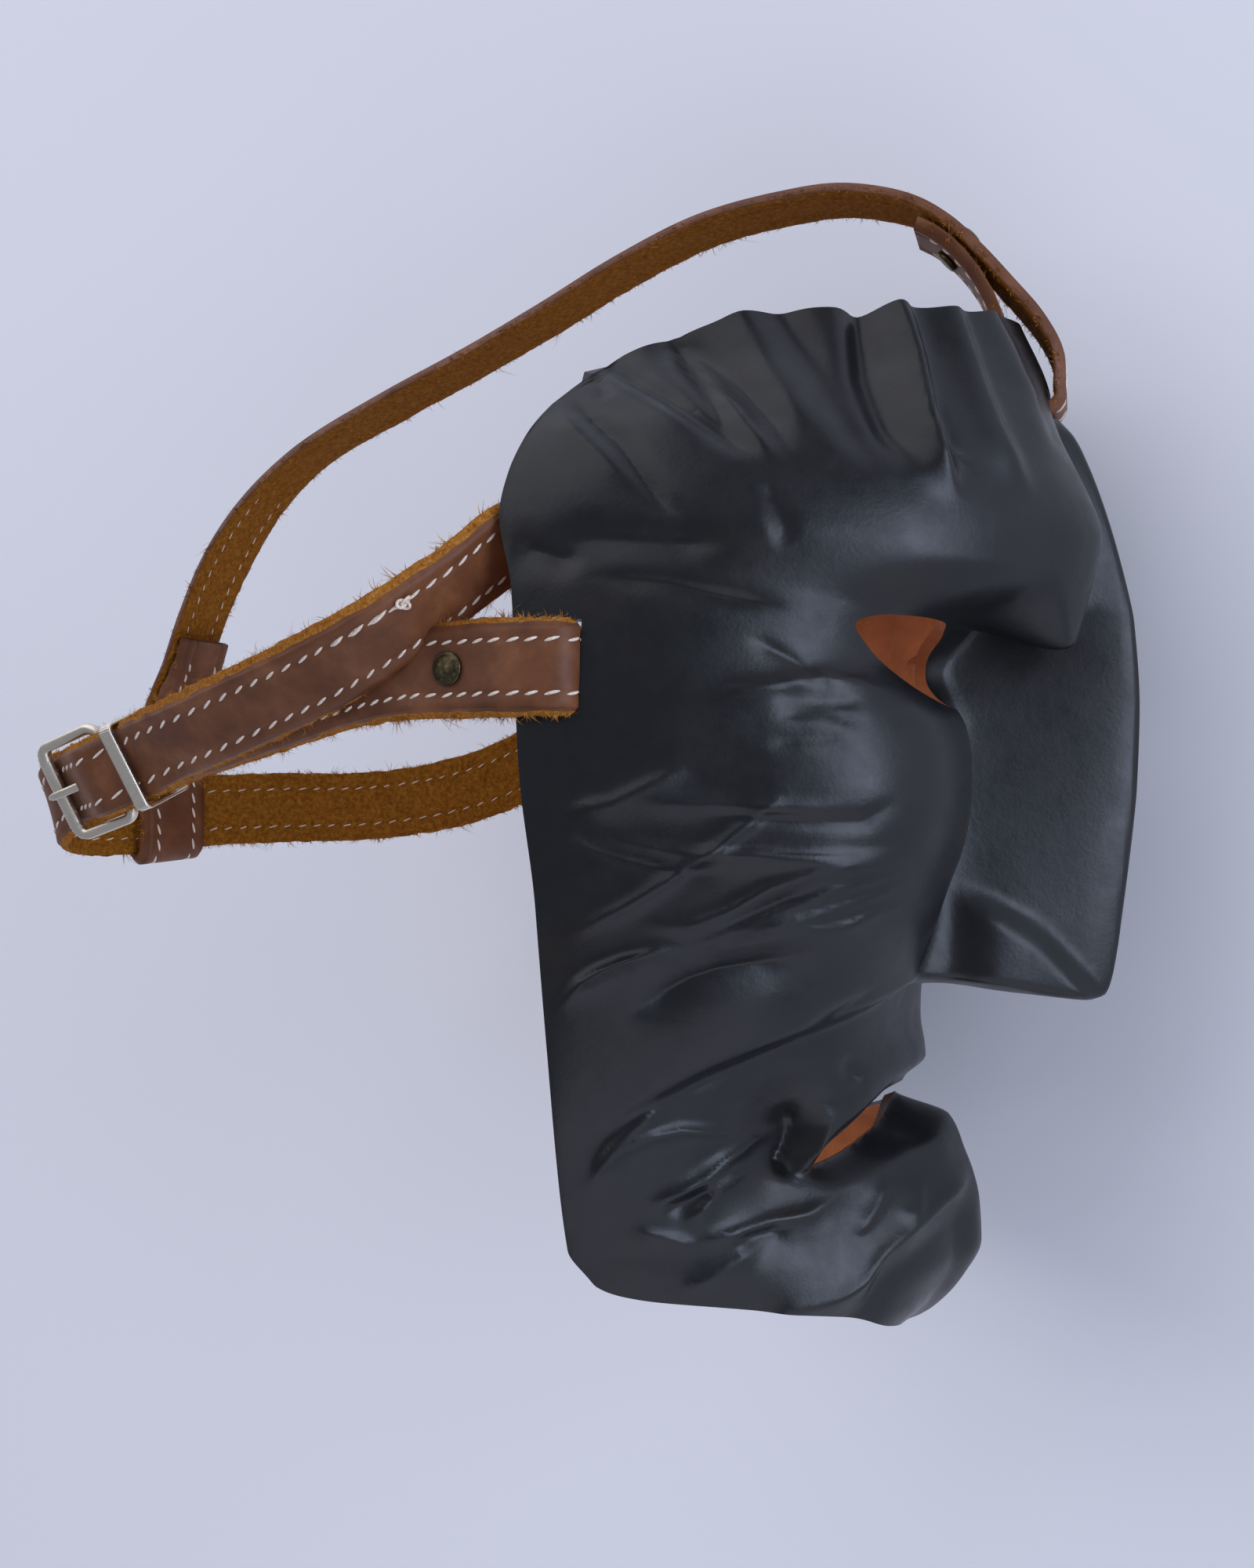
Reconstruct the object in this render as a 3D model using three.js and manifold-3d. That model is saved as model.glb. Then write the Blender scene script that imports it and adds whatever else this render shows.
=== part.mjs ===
// Carnival mask: a grotesque face moulded from one piece of black cowhide, with a head harness of
// three stitched straps, a nickel buckle and bronze rivets. It is modelled in the mask's own frame
// (x forward to the nose, y up to the forehead, z to the wearer's right) and then laid on its left
// side, as it lies when loose. All sizes are millimetres.
import * as THREE from 'three';
import Module from 'manifold-3d';

const wasm = await Module();
wasm.setup();

// Driving dimensions
const hideThick = 3.0;
const strapWide = 20;
const strapThick = 3.0;
const layerStep = strapThick + 0.35;
const clearGap = 0.35;
const topHeight = 115;
const chinHeight = -134.5;
const slotHeight = 25;
const slotFront = 14.3;
const slotLong = 5.6;
const browSlotLong = 6.8;
const slotTall = strapWide + 1.6;
const rivetHead = 3.8;
const rivetShank = 1.3;
const columnCount = 37;
const rowCount = 32;

// How the mask lies: turned about its upright axis and then about its forward axis
const layYaw = 22.0;
const layRoll = -3.5;
const flatDepth = 1.1;

// Smooth curves
function through(stations, x) {
  // Hermite curve through [x, y] stations in rising x, with slopes that never overshoot
  const last = stations.length - 1;
  const at = Math.min(Math.max(x, stations[0][0]), stations[last][0]);
  let i = 0;
  while (i < last - 1 && at > stations[i + 1][0]) i += 1;
  const slope = (k) => (stations[k + 1][1] - stations[k][1]) / (stations[k + 1][0] - stations[k][0]);
  const tangent = (k) => {
    if (k === 0) return slope(0);
    if (k === last) return slope(last - 1);
    const before = slope(k - 1);
    const after = slope(k);
    return before * after > 0 ? (2 * before * after) / (before + after) : 0;
  };
  const span = stations[i + 1][0] - stations[i][0];
  const t = (at - stations[i][0]) / span;
  const t2 = t * t;
  const t3 = t2 * t;
  return (2 * t3 - 3 * t2 + 1) * stations[i][1] + (t3 - 2 * t2 + t) * span * tangent(i)
    + (3 * t2 - 2 * t3) * stations[i + 1][1] + (t3 - t2) * span * tangent(i + 1);
}

function ease(from, to, x) {
  const t = Math.min(Math.max((x - from) / (to - from), 0), 1);
  return t * t * (3 - 2 * t);
}

function bell(x, centre, width) {
  return Math.exp(-(((x - centre) / width) ** 2));
}

// Base form: at each height the section is a rounded arch from rim to rim.
// Each list is [height, value] from the chin's edge up to the top edge.
const halfWidth = [[-140, 50], [-125, 64], [-112, 70], [-92, 77], [-57, 85], [-27, 90], [0, 92],
  [42, 89], [60, 84], [78, 76], [88, 68], [100, 58], [118, 50]];
const rimForward = [[-140, 16], [-125, 12], [-112, 8.9], [-105, 5.7], [-57, 4.6], [-27, 3.7], [2, 0.7],
  [42, -2.1], [60, -5.8], [68, -4.9], [78, -2.3], [88, 2.5], [100, 12], [118, 22]];
const frontForward = [[-140, 66], [-133, 79], [-124, 88], [-115, 92], [-105, 91.5], [-90, 87], [-76, 79],
  [-60, 76.5], [-45, 78], [-30, 84], [-10, 90], [15, 92], [28, 90], [50, 101], [62, 107], [80, 111],
  [95, 110], [116, 102]];
const frontFlat = [[-140, 24], [-112, 14], [-85, 6], [-60, 6], [0, 12], [60, 8], [116, 4]];
const archSquareness = [[-140, 1.5], [-120, 1.4], [-95, 1.32], [-75, 1.45], [-55, 1.85], [-30, 2.4],
  [0, 2.5], [30, 2.4], [60, 2.25], [116, 2.0]];
// The cut edges: [share of the way from centre to rim, height]
const topEdge = [[0, 115], [0.2, 112.7], [0.4, 111], [0.6, 110.5], [0.8, 109], [0.88, 106], [0.94, 103],
  [0.98, 99], [0.99, 95], [1.0, 86]];
const chinEdge = [[0, -134.5], [0.15, -133.5], [0.27, -130.5], [0.4, -126], [0.55, -121.8], [0.7, -118.9],
  [0.85, -116.6], [0.95, -113.5], [1.0, -104.5]];

// Nose: a wedge whose ridge runs from the forehead slot to a drooping tip
const ridgeForward = [[-48.8, 77], [-47.5, 86], [-45.5, 110], [-44.5, 119], [-42.5, 123], [-37, 125],
  [-27, 127], [-12, 129.2], [0, 130.3], [19, 130.9], [39, 129.7], [54, 126.6], [82, 117.5], [96, 109]];
const ridgeHalf = [[-48, 8], [0, 6.5], [54, 5.5], [95, 2]];
const noseFoot = [[-48, 31], [-30, 27], [0, 21], [30, 17], [54, 14], [75, 10], [95, 5]];
const noseBase = -44;
const noseDroop = 9;
const nostrilLine = [[86, -20], [94, -24], [108, -30], [122, -40], [127, -46]];
const nostrilSwell = 4;
// Brow: a heavy roll with an overhanging foot, [distance from the centre plane, value]
const browOut = [[0, 0], [9, 5], [15, 15.5], [22, 20], [30, 18.5], [42, 14], [55, 10.5], [70, 7], [82, 3.5],
  [88, 1]];
const browFoot = [[0, 40], [14, 39], [22, 37.5], [32, 36], [45, 34.5], [60, 36.5], [72, 40], [82, 43.5],
  [92, 46]];
// Cheek fold that runs from the nose wing back and down past the mouth, [forward, height]
const cheekFold = [[14, -76.5], [26, -69.8], [36, -65.3], [49, -59.9], [58, -56.3], [70, -50.9], [84, -42],
  [95, -30]];
const cheekSwell = 5.5;
const foldSwell = 5;
// Mouth: the upper lip's edge sags to the corners, and the lower lip rolls out below the gap
const mouthCorner = 43.5;
const mouthMiddle = -75.5;
const mouthDrop = 15;
const mouthGape = 7.4;
const upperLipCurl = 6.5;
const lowerLipCurl = 10;
const upperLipEdge = (side) => mouthMiddle
  - mouthDrop * (Math.min(Math.abs(side), 46) / mouthCorner) ** 3.2;
const gapeAt = (side) => mouthGape * Math.max(1 - (Math.abs(side) / mouthCorner) ** 4, 0)
  * (0.45 + 0.55 * ease(0, 18, Math.abs(side)));
// Forehead pleats: each a ridge or a valley through [forward, height] points, with its height
const pleats = [
  { way: [[10, 95], [40, 76], [50, 70]], rise: 1.5, wide: 4 },
  { way: [[4, 86], [21, 69], [36, 55]], rise: 1.6, wide: 4 },
  { way: [[28, 101], [45, 80], [51, 70]], rise: -2.2, wide: 6 },
  { way: [[51, 108], [59, 92], [67, 72], [72, 62]], rise: -1.4, wide: 5 },
  { way: [[69, 110], [71, 92], [75, 77], [78, 71]], rise: -4.0, wide: 5.5 },
  { way: [[74, 113], [80, 93], [83, 74], [84, 62]], rise: 3.0, wide: 4.5 },
  { way: [[89, 110], [97, 90], [100, 72], [98, 57]], rise: 1.6, wide: 4 },
];

function archPoint(across, height) {
  const half = through(halfWidth, height);
  const rim = through(rimForward, height);
  const front = through(frontForward, height);
  const power = 2 / through(archSquareness, height);
  const flat = through(frontFlat, height);
  const turn = Math.abs(across) * Math.PI / 2;
  const side = (half - flat) * Math.sin(turn) ** power + flat * ease(0, 0.35, Math.abs(across));
  return { forward: rim + (front - rim) * Math.max(Math.cos(turn), 0) ** power, side };
}

function crease(way, forward, height) {
  // How close a point is to a line: its distance, and how far along the line it lies
  let best = Infinity;
  let along = 0;
  let before = 0;
  const lengths = way.slice(1).map((p, k) => Math.hypot(p[0] - way[k][0], p[1] - way[k][1]));
  const total = lengths.reduce((sum, length) => sum + length, 0);
  lengths.forEach((length, k) => {
    const ux = (way[k + 1][0] - way[k][0]) / length;
    const uy = (way[k + 1][1] - way[k][1]) / length;
    const dx = forward - way[k][0];
    const dy = height - way[k][1];
    const t = Math.min(Math.max(dx * ux + dy * uy, 0), length);
    const off = Math.hypot(dx - t * ux, dy - t * uy);
    if (off < best) {
      best = off;
      along = (before + t) / total;
    }
    before += length;
  });
  return { off: best, along };
}

function straightThrough(stations, x) {
  const last = stations.length - 1;
  const at = Math.min(Math.max(x, stations[0][0]), stations[last][0]);
  let i = 0;
  while (i < last - 1 && at > stations[i + 1][0]) i += 1;
  const share = (at - stations[i][0]) / (stations[i + 1][0] - stations[i][0]);
  return stations[i][1] + share * (stations[i + 1][1] - stations[i][1]);
}

function facePoint(across, height) {
  // The outer face at a share across (-1 left rim, 1 right rim) and a height
  const hand = Math.sign(across);
  const share = Math.abs(across);
  const arch = archPoint(across, height);
  let forward = arch.forward;
  let side = arch.side;
  let up = height;
  const frontness = Math.max(Math.cos(share * Math.PI / 2), 0) ** 1.2;
  const sideness = Math.sqrt(1 - frontness * frontness);

  // swellings and hollows along the surface's own direction
  const overFold = height - straightThrough(cheekFold, arch.forward);
  let relief = foldSwell * ease(-1.5, 2.5, overFold) * Math.exp(-((Math.max(overFold - 2, 0) / 16) ** 2))
    * ease(8, 50, arch.forward) * (arch.side > 16 ? 1 : 0);
  relief += cheekSwell * bell(arch.forward, 84, 22) * bell(height, -4, 28) * ease(20, 34, arch.side);
  relief -= 2.0 * bell(arch.forward, 40, 18) * bell(height, -15, 30);
  relief -= 8.0 * bell(arch.side, 40, 22) * bell(height, 28, 9) * (arch.forward > 30 ? 1 : 0);
  relief -= 4.5 * bell(arch.side, 25, 7) * ease(-48, -22, height) * (1 - ease(22, 42, height));
  relief -= 5.0 * bell(arch.forward, 50, 9) * bell(height, -82, 16);
  relief += 2.5 * bell(arch.forward, 64, 7) * bell(height, -70, 9);
  const pleated = pleats.reduce((sum, pleat) => {
    const near = crease(pleat.way, arch.forward, height);
    return sum + pleat.rise * bell(near.off, 0, pleat.wide) * (1 - ease(0.75, 1, near.along));
  }, 0) * ease(14, 24, arch.side);
  relief += pleated;
  up += 0.7 * pleated * ease(96, 112, height);
  forward += relief * frontness;
  side += relief * sideness;

  // brow roll, pushed forward at the front and outward at the temples, with a drooping foot
  const span = side;
  const overFoot = height - through(browFoot, span);
  const push = through(browOut, span) * ease(-0.5, 7 + 8 * ease(24, 40, span), overFoot)
    * Math.exp(-((Math.max(overFoot - 14, 0) / 24) ** 2));
  const temple = ease(0.55, 0.95, share);
  forward += push * (1 - temple);
  side += 0.8 * push * temple;
  up -= (0.58 * bell(span, 22, 13) + 0.13) * push * Math.exp(-((Math.max(overFoot - 2, 0) / 10) ** 2));

  // nose wedge
  const foot = through(noseFoot, height);
  const ridge = through(ridgeHalf, height);
  const wall = 1 - Math.min(Math.max((span - ridge) / (foot - ridge), 0), 1);
  const wedge = 0.55 * wall + 0.45 * wall * wall * (3 - 2 * wall);
  const nose = height > -48.8 && height < 96
    ? Math.max(through(ridgeForward, height) - forward, 0) * wedge * ease(96, 86, height) : 0;
  forward += nose;
  up -= noseDroop * (nose / 47) * Math.exp(-((Math.max(height - noseBase, 0) / 18) ** 2));
  const belowWing = straightThrough(nostrilLine, forward) - height;
  side += nostrilSwell * ease(0, 7, belowWing) * ease(86, 98, forward) * (1 - ease(116, 126, forward))
    * ease(-48.9, -47, height) * (1 - ease(26, 34, span)) * ease(1, 6, span);

  // lips curled in towards the gap, the lower one from a rolled crest
  const above = Math.max(height - upperLipEdge(span), 0);
  const gape = gapeAt(span);
  const below = Math.max(upperLipEdge(span) - gape - height, 0);
  const within = Math.min(Math.max((upperLipEdge(span) - height) / Math.max(gape, 0.5), 0), 1);
  const curl = (upperLipCurl + (lowerLipCurl - upperLipCurl) * within - 2 * ease(10, 32, span))
    * Math.min(ease(6.5, -0.5, above), ease(5, -0.5, below));
  const rolled = (1.2 - 2.2 * ease(10, 24, span)) * bell(below, 6, 5) * ease(0, 4, below)
    + 0.8 * bell(above, 9, 5) * ease(0, 4, above);
  forward += (rolled - curl) * (1 - ease(38, 48, span));
  return new THREE.Vector3(forward, up, hand * side);
}

// Rows and columns of the shell, close together where the form turns sharply
function spread(count, from, to, density) {
  const fine = 2000;
  const sums = [0];
  for (let k = 1; k <= fine; k += 1) {
    sums.push(sums[k - 1] + density(from + (to - from) * (k - 0.5) / fine));
  }
  const places = [];
  let k = 0;
  for (let i = 0; i < count; i += 1) {
    const wanted = sums[fine] * i / (count - 1);
    while (k < fine && sums[k + 1] < wanted) k += 1;
    places.push(from + (to - from) * k / fine);
  }
  places[count - 1] = to;
  return places;
}

function rowHeight(centreHeight, share) {
  // Rows follow the cut edges at top and bottom, and the sagging lips between them
  if (centreHeight > 0) return centreHeight * through(topEdge, share) / topHeight;
  const sag = (Math.min(share, 0.45) / 0.45) ** 3.2 * (1 - ease(0.45, 0.9, share));
  return centreHeight * through(chinEdge, share) / chinHeight
    - mouthDrop * sag * bell(centreHeight, -80, 24);
}

function gridNormals(points, rows, columns) {
  const normals = [];
  for (let j = 0; j < rows; j += 1) {
    for (let i = 0; i < columns; i += 1) {
      const left = points[j * columns + Math.max(i - 1, 0)];
      const right = points[j * columns + Math.min(i + 1, columns - 1)];
      const above = points[Math.max(j - 1, 0) * columns + i];
      const below = points[Math.min(j + 1, rows - 1) * columns + i];
      const acrossWay = right.clone().sub(left);
      const downWay = below.clone().sub(above);
      normals.push(acrossWay.cross(downWay).normalize());
    }
  }
  return normals;
}

function softened(vectors, rows, columns) {
  return vectors.map((vector, index) => {
    const i = index % columns;
    const j = (index - i) / columns;
    const sum = vector.clone().multiplyScalar(2);
    sum.add(vectors[j * columns + Math.max(i - 1, 0)]);
    sum.add(vectors[j * columns + Math.min(i + 1, columns - 1)]);
    sum.add(vectors[Math.max(j - 1, 0) * columns + i]);
    sum.add(vectors[Math.min(j + 1, rows - 1) * columns + i]);
    return sum.multiplyScalar(1 / 6);
  });
}

function thickGrid(outer, inner, rows, columns) {
  // A closed body between two grids of points that share their layout
  const count = rows * columns;
  const points = outer.concat(inner);
  const triangles = [];
  const quad = (a, b, c, d) => triangles.push([a, c, b], [a, d, c]);
  for (let j = 0; j < rows - 1; j += 1) {
    for (let i = 0; i < columns - 1; i += 1) {
      const a = j * columns + i;
      quad(a, a + columns, a + columns + 1, a + 1);
      quad(count + a, count + a + 1, count + a + columns + 1, count + a + columns);
    }
  }
  const end = (rows - 1) * columns;
  for (let i = 0; i < columns - 1; i += 1) {
    quad(i, i + 1, count + i + 1, count + i);
    quad(end + i + 1, end + i, count + end + i, count + end + i + 1);
  }
  for (let j = 0; j < rows - 1; j += 1) {
    const a = j * columns;
    const b = a + columns - 1;
    quad(a + columns, a, count + a, count + a + columns);
    quad(b, b + columns, count + b + columns, count + b);
  }
  return { points, triangles };
}

// Solids for joining and cutting
function solidOf({ points, triangles }) {
  const vertProperties = new Float32Array(points.flatMap((p) => [p.x, p.y, p.z]));
  const triVerts = new Uint32Array(triangles.flat());
  return new wasm.Manifold(new wasm.Mesh({ numProp: 3, vertProperties, triVerts }));
}

function geometryOf(solid) {
  const mesh = solid.getMesh();
  const places = [];
  for (let i = 0; i < mesh.vertProperties.length; i += mesh.numProp) {
    places.push(mesh.vertProperties[i], mesh.vertProperties[i + 1], mesh.vertProperties[i + 2]);
  }
  const geometry = new THREE.BufferGeometry();
  geometry.setAttribute('position', new THREE.Float32BufferAttribute(places, 3));
  geometry.setIndex(Array.from(mesh.triVerts));
  return geometry;
}

function solidOfGeometry(geometry, matrix = new THREE.Matrix4()) {
  // Shared corners are merged by their place, to a thousandth of a millimetre
  const position = geometry.getAttribute('position');
  const index = geometry.getIndex();
  const found = new Map();
  const points = [];
  const slot = [];
  for (let i = 0; i < position.count; i += 1) {
    const point = new THREE.Vector3().fromBufferAttribute(position, i);
    const key = point.toArray().map((value) => Math.round(value * 1000)).join(' ');
    if (!found.has(key)) {
      found.set(key, points.length);
      points.push(point.applyMatrix4(matrix));
    }
    slot.push(found.get(key));
  }
  const order = index ? Array.from(index.array) : slot.map((_, i) => i);
  const triangles = [];
  for (let i = 0; i < order.length; i += 3) {
    const corners = [slot[order[i]], slot[order[i + 1]], slot[order[i + 2]]];
    if (new Set(corners).size === 3) triangles.push(corners);
  }
  return solidOf({ points, triangles });
}

function block(size, centre, axes) {
  const matrix = new THREE.Matrix4().makeBasis(axes[0], axes[1], axes[2]).setPosition(centre);
  return solidOfGeometry(new THREE.BoxGeometry(size[0], size[1], size[2]), matrix);
}

const forwardAxis = new THREE.Vector3(1, 0, 0);
const upAxis = new THREE.Vector3(0, 1, 0);
const rightAxis = new THREE.Vector3(0, 0, 1);
const plainAxes = [forwardAxis, upAxis, rightAxis];

// Eyes and mouth are cut straight back through the hide. Outlines are [side, height] points.
const eyeOutline = [[22.5, 28], [25.5, 21.5], [34, 18.8], [44, 20.5], [54, 25], [61.5, 30.5], [66, 34.5],
  [57, 36.5], [48, 37.3], [38, 36.6], [28, 34]];
const mouthSides = Array.from({ length: 15 }, (_, i) => (
  (mouthCorner - 1) * Math.sin((i / 14 - 0.5) * Math.PI)));
const mouthOutline = [
  ...mouthSides.map((side) => [side, upperLipEdge(side) - gapeAt(side)]),
  ...mouthSides.slice().reverse().map((side) => [side, upperLipEdge(side)]),
];

function forwardCut(outline, from, to, hand = 1) {
  const shape = new THREE.Shape(outline.map(([side, height]) => new THREE.Vector2(-side * hand, height)));
  const geometry = new THREE.ExtrudeGeometry(shape, { depth: to - from, bevelEnabled: false });
  geometry.rotateY(Math.PI / 2);
  geometry.translate(from, 0, 0);
  return solidOfGeometry(geometry);
}

// Forehead slot, square to the hide between the slot and the top edge
const slotTop = 97;
const edgeAtTop = facePoint(0, topHeight);
const edgeAtSlot = facePoint(0, slotTop);
const wallWay = edgeAtTop.clone().sub(edgeAtSlot).normalize();
const wallNormal = new THREE.Vector3(wallWay.y, -wallWay.x, 0);
const slotRadius = hideThick / 2 + clearGap + 0.5 + strapThick / 2;

function shellSolid() {
  const columns = spread(columnCount, -1, 1, (a) => 1 + 2.2 * Math.exp(-((Math.abs(a) / 0.17) ** 4))
    + 2.6 * bell(Math.abs(a), 0.985, 0.03));
  const heights = spread(rowCount, topHeight, chinHeight, (h) => 1 + 1.8 * bell(h, 39, 8)
    + 5 * bell(h, -45.5, 3.5) + 2.4 * bell(h, -78.5, 6));
  const outer = heights.flatMap((centreHeight) => columns.map((across) => {
    const height = rowHeight(centreHeight, Math.abs(across));
    return facePoint(across, height);
  }));
  let normals = gridNormals(outer, rowCount, columnCount);
  normals = softened(softened(normals, rowCount, columnCount), rowCount, columnCount);
  normals.forEach((normal) => normal.normalize());
  const inner = outer.map((point, k) => point.clone().addScaledVector(normals[k], -hideThick));
  let shell = solidOf(thickGrid(outer, inner, rowCount, columnCount));
  shell = shell.subtract(forwardCut(eyeOutline, 40, 110, 1));
  shell = shell.subtract(forwardCut(eyeOutline, 40, 110, -1));
  shell = shell.subtract(forwardCut(mouthOutline, 42, 100));
  [-1, 1].forEach((hand) => {
    const centre = new THREE.Vector3(slotFront - slotLong / 2, slotHeight, hand * 90);
    shell = shell.subtract(block([slotLong, slotTall, 16], centre, plainAxes));
  });
  const slotCentre = edgeAtSlot.clone().addScaledVector(wallWay, -browSlotLong / 2);
  shell = shell.subtract(block([16, browSlotLong, slotTall], slotCentre, [wallNormal, wallWay, rightAxis]));
  return shell;
}

// Straps: a flat strip carried along stations { at, wide } where wide is the way its width runs
function station(at, wide, share = 1) {
  return { at: new THREE.Vector3(...at), wide: new THREE.Vector3(...wide), share };
}

function strapFrames(stations, steps) {
  const middle = new THREE.CatmullRomCurve3(stations.map((s) => s.at), false, 'centripetal');
  const widths = new THREE.CatmullRomCurve3(stations.map((s) => s.wide), false, 'centripetal');
  const frames = [];
  for (let k = 0; k <= steps; k += 1) {
    const t = k / steps;
    const at = middle.getPoint(t);
    const along = middle.getTangent(t);
    const wide = widths.getPoint(t);
    wide.addScaledVector(along, -wide.dot(along)).normalize();
    const place = t * (stations.length - 1);
    const i = Math.min(Math.floor(place), stations.length - 2);
    const share = stations[i].share + (place - i) * (stations[i + 1].share - stations[i].share);
    frames.push({ at, along, wide, face: wide.clone().cross(along), share });
  }
  return frames;
}

function strapSolid(stations, steps, grown = 0) {
  const frames = strapFrames(stations, steps);
  const corners = [[1, 1], [1, -1], [-1, -1], [-1, 1]];
  const points = frames.flatMap((frame) => corners.map(([w, f]) => frame.at.clone()
    .addScaledVector(frame.wide, w * (frame.share * strapWide / 2 + grown))
    .addScaledVector(frame.face, f * (strapThick / 2 + grown))));
  const triangles = [];
  for (let k = 0; k < frames.length - 1; k += 1) {
    for (let c = 0; c < 4; c += 1) {
      const a = 4 * k + c;
      const b = 4 * k + ((c + 1) % 4);
      triangles.push([a, b, b + 4], [a, b + 4, a + 4]);
    }
  }
  const end = 4 * (frames.length - 1);
  triangles.push([0, 3, 2], [0, 2, 1], [end, end + 1, end + 2], [end, end + 2, end + 3]);
  const body = { points, triangles };
  const solid = solidOf(body);
  if (solid.volume() > 0) return solid;
  triangles.forEach((triangle) => triangle.reverse());
  return solidOf(body);
}

function turnStations(centre, start, over, wide, radius, sweep, count) {
  // Stations round an arc: it starts at centre + start * radius and turns towards over
  const list = [];
  for (let k = 0; k <= count; k += 1) {
    const angle = sweep * k / count;
    const at = centre.clone().addScaledVector(start, radius * Math.cos(angle))
      .addScaledVector(over, radius * Math.sin(angle));
    list.push({ at, wide: wide.clone(), share: 1 });
  }
  return list;
}

function beside(stations, distance) {
  // The same way moved off its outer face
  return stations.map((s, k) => {
    const before = stations[Math.max(k - 1, 0)].at;
    const after = stations[Math.min(k + 1, stations.length - 1)].at;
    const along = after.clone().sub(before).normalize();
    const face = s.wide.clone().cross(along).normalize();
    return { at: s.at.clone().addScaledVector(face, distance), wide: s.wide.clone(), share: 1 };
  });
}

// Buckle frame of reference: front bar, heel bar, the way along the bars and the outward way
const frontBar = new THREE.Vector3(-149, -2.6, 34.5);
const buckleWay = new THREE.Vector3(22, 6.2, 8.5).normalize();
const barGap = 24.4;
const heelBar = frontBar.clone().addScaledVector(buckleWay, barGap);
const barHint = new THREE.Vector3(-0.35, 0.91, 0.23);
const barWay = barHint.clone().addScaledVector(buckleWay, -barHint.dot(buckleWay)).normalize();
const buckleOut = buckleWay.clone().cross(barWay).normalize();
const barThick = 2.6;
const heelRadius = barThick / 2 * Math.SQRT2 + clearGap + strapThick / 2;
const onBuckle = (along, out) => frontBar.clone().addScaledVector(buckleWay, along)
  .addScaledVector(buckleOut, out);

// Side slots: the strap folds through the slot and sandwiches the rim
const slotTurnIn = 86.2;
const slotTurnOut = 94.0;
const slotTurnRadius = (slotTurnOut - slotTurnIn) / 2;
const slotTurnCentre = slotFront - slotTurnRadius - strapThick / 2 - 0.5;
const upright = [0, 1, 0];

function slotFold(hand) {
  const centre = new THREE.Vector3(slotTurnCentre, slotHeight, hand * (slotTurnIn + slotTurnRadius));
  const inwards = new THREE.Vector3(0, 0, -hand);
  return [
    station([-27, slotHeight, hand * 83.4], upright),
    station([-15, slotHeight, hand * 86.3], upright),
    station([-3, slotHeight, hand * slotTurnIn], upright),
    ...turnStations(centre, inwards, forwardAxis, upAxis, slotTurnRadius, Math.PI, 6),
    station([-2, slotHeight, hand * slotTurnOut], upright),
    station([-9, slotHeight, hand * 92.0], upright),
  ];
}

const rightRun = [
  station([-15, slotHeight, 90.0], upright),
  station([-28, 24.8, 86.8], upright),
  station([-45, 22.6, 82.4], [-0.26, 0.93, 0.25]),
  station([-65, 17.6, 75.6], [-0.36, 0.85, 0.39]),
  station([-85, 12.8, 66.2], [-0.41, 0.79, 0.45]),
  station([-102, 9.4, 56.2], [-0.42, 0.8, 0.44]),
];
const chapeNear = { at: onBuckle(barGap + 11, layerStep / 2 + 0.2), wide: barWay.clone(), share: 1 };
const backwards = buckleWay.clone().negate();
const heelTurn = turnStations(heelBar, buckleOut, backwards, barWay, heelRadius, Math.PI, 6);
const foldBack = [
  { at: onBuckle(barGap + 11, -layerStep / 2 - 0.1), wide: barWay.clone(), share: 1 },
  ...beside(rightRun.slice(-2).reverse(), layerStep + 0.1),
];

const rightStations = [...slotFold(1), ...rightRun, chapeNear, ...heelTurn, foldBack[0], foldBack[1]];

// Rear strap: from the left slot round the back of the head, through the buckle, and back as a
// tail over the right strap, tucked inside the right rim
const rearRun = [
  station([-15, slotHeight, -90.0], upright),
  station([-28, 22.0, -86.0], upright),
  station([-41, 13.5, -79.5], [0.08, 0.99, -0.1]),
  station([-55, 4.5, -72.0], [0.12, 0.98, -0.16]),
  station([-72, -2.6, -63.0], [0.05, 0.98, -0.2]),
  station([-95, -6.8, -51.0], [0, 0.98, -0.2]),
  station([-121, -7.4, -36.5], [0, 0.99, -0.12]),
  station([-140, -8.2, -22.5], upright),
  station([-153, -10.2, -8.5], upright),
  station([-161.5, -10.0, 6.0], [-0.1, 0.99, 0.02]),
  station([-160.5, -7.6, 19.5], [-0.22, 0.97, 0.08]),
];
const underBar = -barThick / 2 - clearGap - strapThick / 2;
const buckleRun = [
  { at: onBuckle(-4, underBar - 0.3), wide: barWay.clone(), share: 1 },
  { at: onBuckle(2, underBar - 0.1), wide: barWay.clone(), share: 1 },
  { at: onBuckle(barGap / 2, 2.0), wide: barWay.clone(), share: 1 },
  { at: onBuckle(barGap - 1, heelRadius + layerStep + 0.1), wide: barWay.clone(), share: 1 },
  { at: onBuckle(barGap + 11, layerStep * 1.5 + 0.4), wide: barWay.clone(), share: 1 },
];
// The tail lies over the right strap, its upper edge leaning outwards, and dips behind the rim
const tailRun = [
  station([-104, 8.8, 60.8], [-0.46, 0.77, 0.44]),
  station([-87.2, 12.5, 71.8], [-0.47, 0.73, 0.5]),
  station([-67.2, 18, 82], [-0.47, 0.69, 0.55]),
  station([-47, 24.3, 90.8], [-0.45, 0.62, 0.65]),
  station([-28.5, 32.7, 94.8], [-0.27, 0.57, 0.78]),
  station([-17, 42, 88.4], [-0.01, 0.67, 0.75]),
  station([-6, 53.4, 76.8], [-0.01, 0.77, 0.64]),
  station([4, 57, 70.5], [-0.07, 0.84, 0.55]),
  station([15, 60.5, 68.5], [-0.19, 0.87, 0.45], 0.9),
  station([19.5, 62, 67.8], [-0.19, 0.87, 0.45], 0.45),
];
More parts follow.
